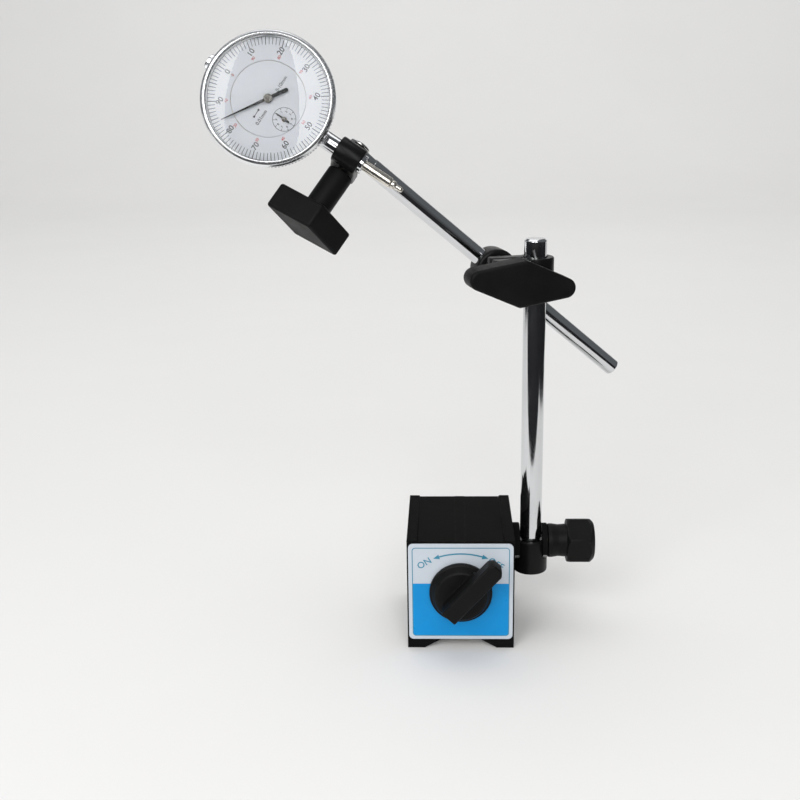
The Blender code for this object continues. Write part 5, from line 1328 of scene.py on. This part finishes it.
ticks = []
for index in range(SCALE_MARKS):
    extra = FIFTH_EXTRA if index % 5 == 0 else 0.0
    extra = TENTH_EXTRA if index % 10 == 0 else extra
    width = FIFTH_WIDTH if index % 5 == 0 else TICK_WIDTH
    ticks.append(tick(360 / SCALE_MARKS * index, TICK_IN - extra, TICK_OUT, width, face_high.z))
scale_marks = gathered(strokes(ticks), printed_ring(TICK_OUT, RIM_LINE_HALF, face_high.z))
piece("scale_marks", scale_marks, DIAL, INK_BLACK, "bezel", "hand_black")
tens = [str(value) for value in range(0, SCALE_MARKS, 10)]
scale_numbers = numbers(tens, NUMBER_SIZE, NUMBER_RADIUS, face_high.z)
piece("scale_numbers", scale_numbers, DIAL, INK_BLACK, "bezel", "hand_black")
red_numbers = numbers(tens[:1] + tens[:0:-1], RED_SIZE, RED_RADIUS, face_high.z)
piece("scale_numbers_red", red_numbers, DIAL, INK_RED, "bezel", "hand_black")
counter_start = COUNTER_RADIUS - COUNTER_TICK
ticks = [tick(360 / COUNTER_MARKS * index, counter_start, COUNTER_RADIUS, COUNTER_TICK_WIDTH, counter_face)
         for index in range(COUNTER_MARKS)]
counter_ring = printed_ring(COUNTER_RADIUS, COUNTER_TICK_WIDTH / 2, counter_face)
piece("counter_marks", gathered(strokes(ticks), counter_ring), COUNTER, INK_BLACK, "dial", "hand_black")
digits = [str(index) for index in range(COUNTER_MARKS)]
counter_numbers = numbers(digits, COUNTER_NUMBER_SIZE, COUNTER_NUMBER_RADIUS, counter_face)
piece("counter_numbers", counter_numbers, COUNTER, INK_BLACK, "dial", "hand_black")
units = lettering(UNITS, UNIT_SIZE, [shift(x, y, centre_high.z) @ UPRIGHT for x, y in UNITS.values()])
sign = shift(*SIGN_SPOT, centre_high.z) @ UPRIGHT
sign_strokes = [(*SIGN_LINE, sign)]
sign_strokes += [(SIGN_END, SIGN_END, sign @ shift(x=side * SIGN_HALF)) for side in (-1, 1)]
piece("centre_units", gathered(units, strokes(sign_strokes)), DIAL, INK_BLACK, "dial", "hand_black")

# Hands
HAND_ANGLE = 237.5
COUNTER_ANGLE = 177.5
HAND_TIP = 0.12
HUB_WAIST = 0.42
HUB_EDGE = 0.12
RIB_DEPTH = 0.14
RIB_WIDTH = 0.12
RIB_SHARE = 0.7
MAIN = DIAL @ about("Z", HAND_ANGLE)
SMALL = COUNTER @ about("Z", COUNTER_ANGLE)


def pointer(low, high, length, tail, hub, tail_radius):
    """Tapered hand with a round hub and a rounded tail."""
    waist = (0, 0, hub * HUB_WAIST)
    front = slab(belt([(length - HAND_TIP, 0, HAND_TIP), waist]), low, high)
    back = slab(belt([waist, (tail_radius - tail, 0, tail_radius)]), low, high)
    return carved(carved(front, back, "UNION"), bar(hub, low, high), "UNION")


def hub_cap(radius, top, sink, rise, ribs):
    """Ribbed hub that starts inside a hand and stands over its top."""
    low = top - sink
    high = top + rise
    work = bar(radius, low, high, HUB_EDGE, SMALL_ROUND)
    return ribbed(work, ribs, radius, (low + high) / 2, (RIB_DEPTH, RIB_WIDTH, (high - low) * RIB_SHARE))


low, high = reach("main_hand", DIAL)
hand = pointer(low.z, high.z, length=22.0, tail=9.4, hub=1.52, tail_radius=0.9)
piece("hand_main", hand, MAIN, HAND_BLACK, "main_hand", "hand_black", "main_hand")
hub = hub_cap(radius=1.9, top=high.z, sink=0.6, rise=0.28, ribs=36)
piece("hand_main_hub", hub, MAIN, HUB_METAL, "main_hand", "brass")
low, high = reach("counter_hand", COUNTER)
hand = pointer(low.z, high.z, length=4.4, tail=2.6, hub=1.0, tail_radius=0.5)
piece("hand_counter", hand, SMALL, HAND_BLACK, "counter_hand", "hand_black", "counter_hand")
hub = hub_cap(radius=0.85, top=high.z, sink=0.2, rise=0.2, ribs=20)
piece("hand_counter_hub", hub, SMALL, HUB_METAL, "counter_hand", "brass")

# Stage, its sizes in metres
PAPER_TINT = (1, 0.995, 0.985)
PAPER_TONES = (grey(0.80, PAPER_TINT), grey(0.78, PAPER_TINT))
PAPER_FRONT = -1.7
PAPER_BEND = 1.6
BEND_RADIUS = 1.2
BEND_STEPS = 15
WALL_TOP = 1.7
PAPER_SIDE = 1.9
WING_SIDE = 4.0
bend = arc(PAPER_BEND, BEND_RADIUS, BEND_RADIUS, -90, 0, BEND_STEPS)
paper_path = [(PAPER_FRONT, 0.0), *bend, (PAPER_BEND + BEND_RADIUS, WALL_TOP)]
paper = Finish("studio_paper")
paper_grain = paper.add(GRAIN, Cloud_Scale=3.0, Speck_Scale=900.0)
paper.feed("Base Color", mixed(paper.tree, paper_grain["Cloud"], *PAPER_TONES))
paper.dull(paper_grain["Cloud"], (0.7, 0.8))


def staged(name, work, finish, *unseen_by):
    """A stage piece, left out for the kinds of rays named."""
    made = shown(name, mesh_of(name, work))
    made.data.shade_smooth()
    made.data.materials.append(finish)
    for rays in unseen_by:
        setattr(made, "visible_" + rays, False)


def paper_between(left, right):
    """Studio paper between two sides, flat in front and curved up to a wall behind."""
    work = bmesh.new()
    points = [work.verts.new((left, y, z)) for y, z in paper_path]
    edges = [work.edges.new(pair) for pair in zip(points, points[1:])]
    drawn_out(work, bmesh.ops.extrude_edge_only(work, edges=edges), (right - left, 0, 0))
    bmesh.ops.recalc_face_normals(work, faces=work.faces)
    return work


staged("studio_floor", paper_between(-PAPER_SIDE, PAPER_SIDE), paper.material)
# Wings carry the paper on for views from the side, and only the camera sees them
WING_UNSEEN = ("diffuse", "glossy", "shadow", "transmission")
staged("studio_wing_left", paper_between(-WING_SIDE, -PAPER_SIDE), paper.material, *WING_UNSEEN)
staged("studio_wing_right", paper_between(PAPER_SIDE, WING_SIDE), paper.material, *WING_UNSEEN)

# Dark cloth laid round the paper, seen only in the reflections of bright parts
CLOTH_LIFT = 0.001
CLOTH_OUTLINE = [(-3.0, -3.0), (3.0, -3.0), (3.0, 0.6), (0.42, 0.6),
                 (0.42, -0.2), (-0.8, -0.2), (-0.8, 0.6), (-3.0, 0.6)]
cloth_black = enamel("studio_black_cloth", (0.02, 0.02, 0.022), rough=(0.9, 1.0), gloss=0.0)
cloth = bmesh.new()
cloth.faces.new([cloth.verts.new((x, y, CLOTH_LIFT)) for x, y in CLOTH_OUTLINE])
staged("studio_cloth", cloth, cloth_black, "camera", "diffuse", "shadow", "transmission")

# World: paler for the camera, dimmer for reflections, most of all towards the front
DIM_BACK = grey(0.13, (0.94, 1.0, 1.06))
DIM_FRONT = grey(0.04)
PALE = grey(0.5)
PALE_SEEN = grey(0.68)
world = bpy.data.worlds.new("studio")
world.use_nodes = True
scene.world = world
sky = world.node_tree
look = node(sky, "ShaderNodeTexCoord").outputs["Generated"]
forward = node(sky, "ShaderNodeSeparateXYZ", {"Vector": look}).outputs["Y"]
dim = mixed(sky, between(sky, forward, low=-0.45, high=-0.95), DIM_BACK, DIM_FRONT)
path_kind = node(sky, "ShaderNodeLightPath").outputs
pale = mixed(sky, path_kind["Is Camera Ray"], PALE, PALE_SEEN)
sky_colour = mixed(sky, path_kind["Is Glossy Ray"], pale, dim)
sky.links.new(sky_colour, sky.nodes["Background"].inputs["Color"])
sky.nodes["Background"].inputs["Strength"].default_value = 1.0

# Softboxes: place, aim, width, height and power
SOFTBOXES = {
    "softbox_left": ((-0.585, -1.07, 0.79), (-0.03, 0, 0.16), 0.64, 0.9, 8.6),
    "softbox_right": ((0.13, -1.17, 0.79), (-0.03, 0, 0.16), 0.5, 0.9, 6.4),
    "softbox_top": ((-0.05, 0.35, 1.5), (0.05, 0.25, 0), 1.3, 1.3, 7.0),
    "softbox_back": ((0.0, 0.9, 2.1), (0, 2.8, 1.1), 3.0, 0.8, 22.0),
}
for name, (place, aim, width, height, power) in SOFTBOXES.items():
    light = bpy.data.lights.new(name, "AREA")
    light.shape = "RECTANGLE"
    light.size = width
    light.size_y = height
    light.energy = power
    lamp = shown(name, light)
    lamp.location = place
    lamp.rotation_euler = (Vector(aim) - Vector(place)).to_track_quat("-Z", "Y").to_euler()

# Camera, where the photograph was taken from
PHOTO_SIDE = 800
FOCAL = 1143.705
SENSOR = 36.0
PITCH = math.radians(16.629)
YAW = math.radians(-2.442)
ROLL = math.radians(0.979)
STAND_POINT = Vector((-6.09, -514.85, 267.98)) * MM
ahead = Vector((math.sin(YAW) * math.cos(PITCH), math.cos(YAW) * math.cos(PITCH), -math.sin(PITCH)))
level = Vector((math.cos(YAW), -math.sin(YAW), 0))
below = ahead.cross(level)
side_way = level * math.cos(ROLL) + below * math.sin(ROLL)
down_way = below * math.cos(ROLL) - level * math.sin(ROLL)
camera = bpy.data.cameras.new("photo_camera")
camera.sensor_width = SENSOR
camera.lens = SENSOR * FOCAL / PHOTO_SIDE
camera.clip_start = 0.02
camera.clip_end = 30
viewer = shown("photo_camera", camera)
view_turn = Matrix((side_way, -down_way, -ahead)).transposed().to_4x4()
viewer.matrix_world = Matrix.Translation(BASE_MIDDLE + STAND_POINT) @ view_turn
scene.camera = viewer
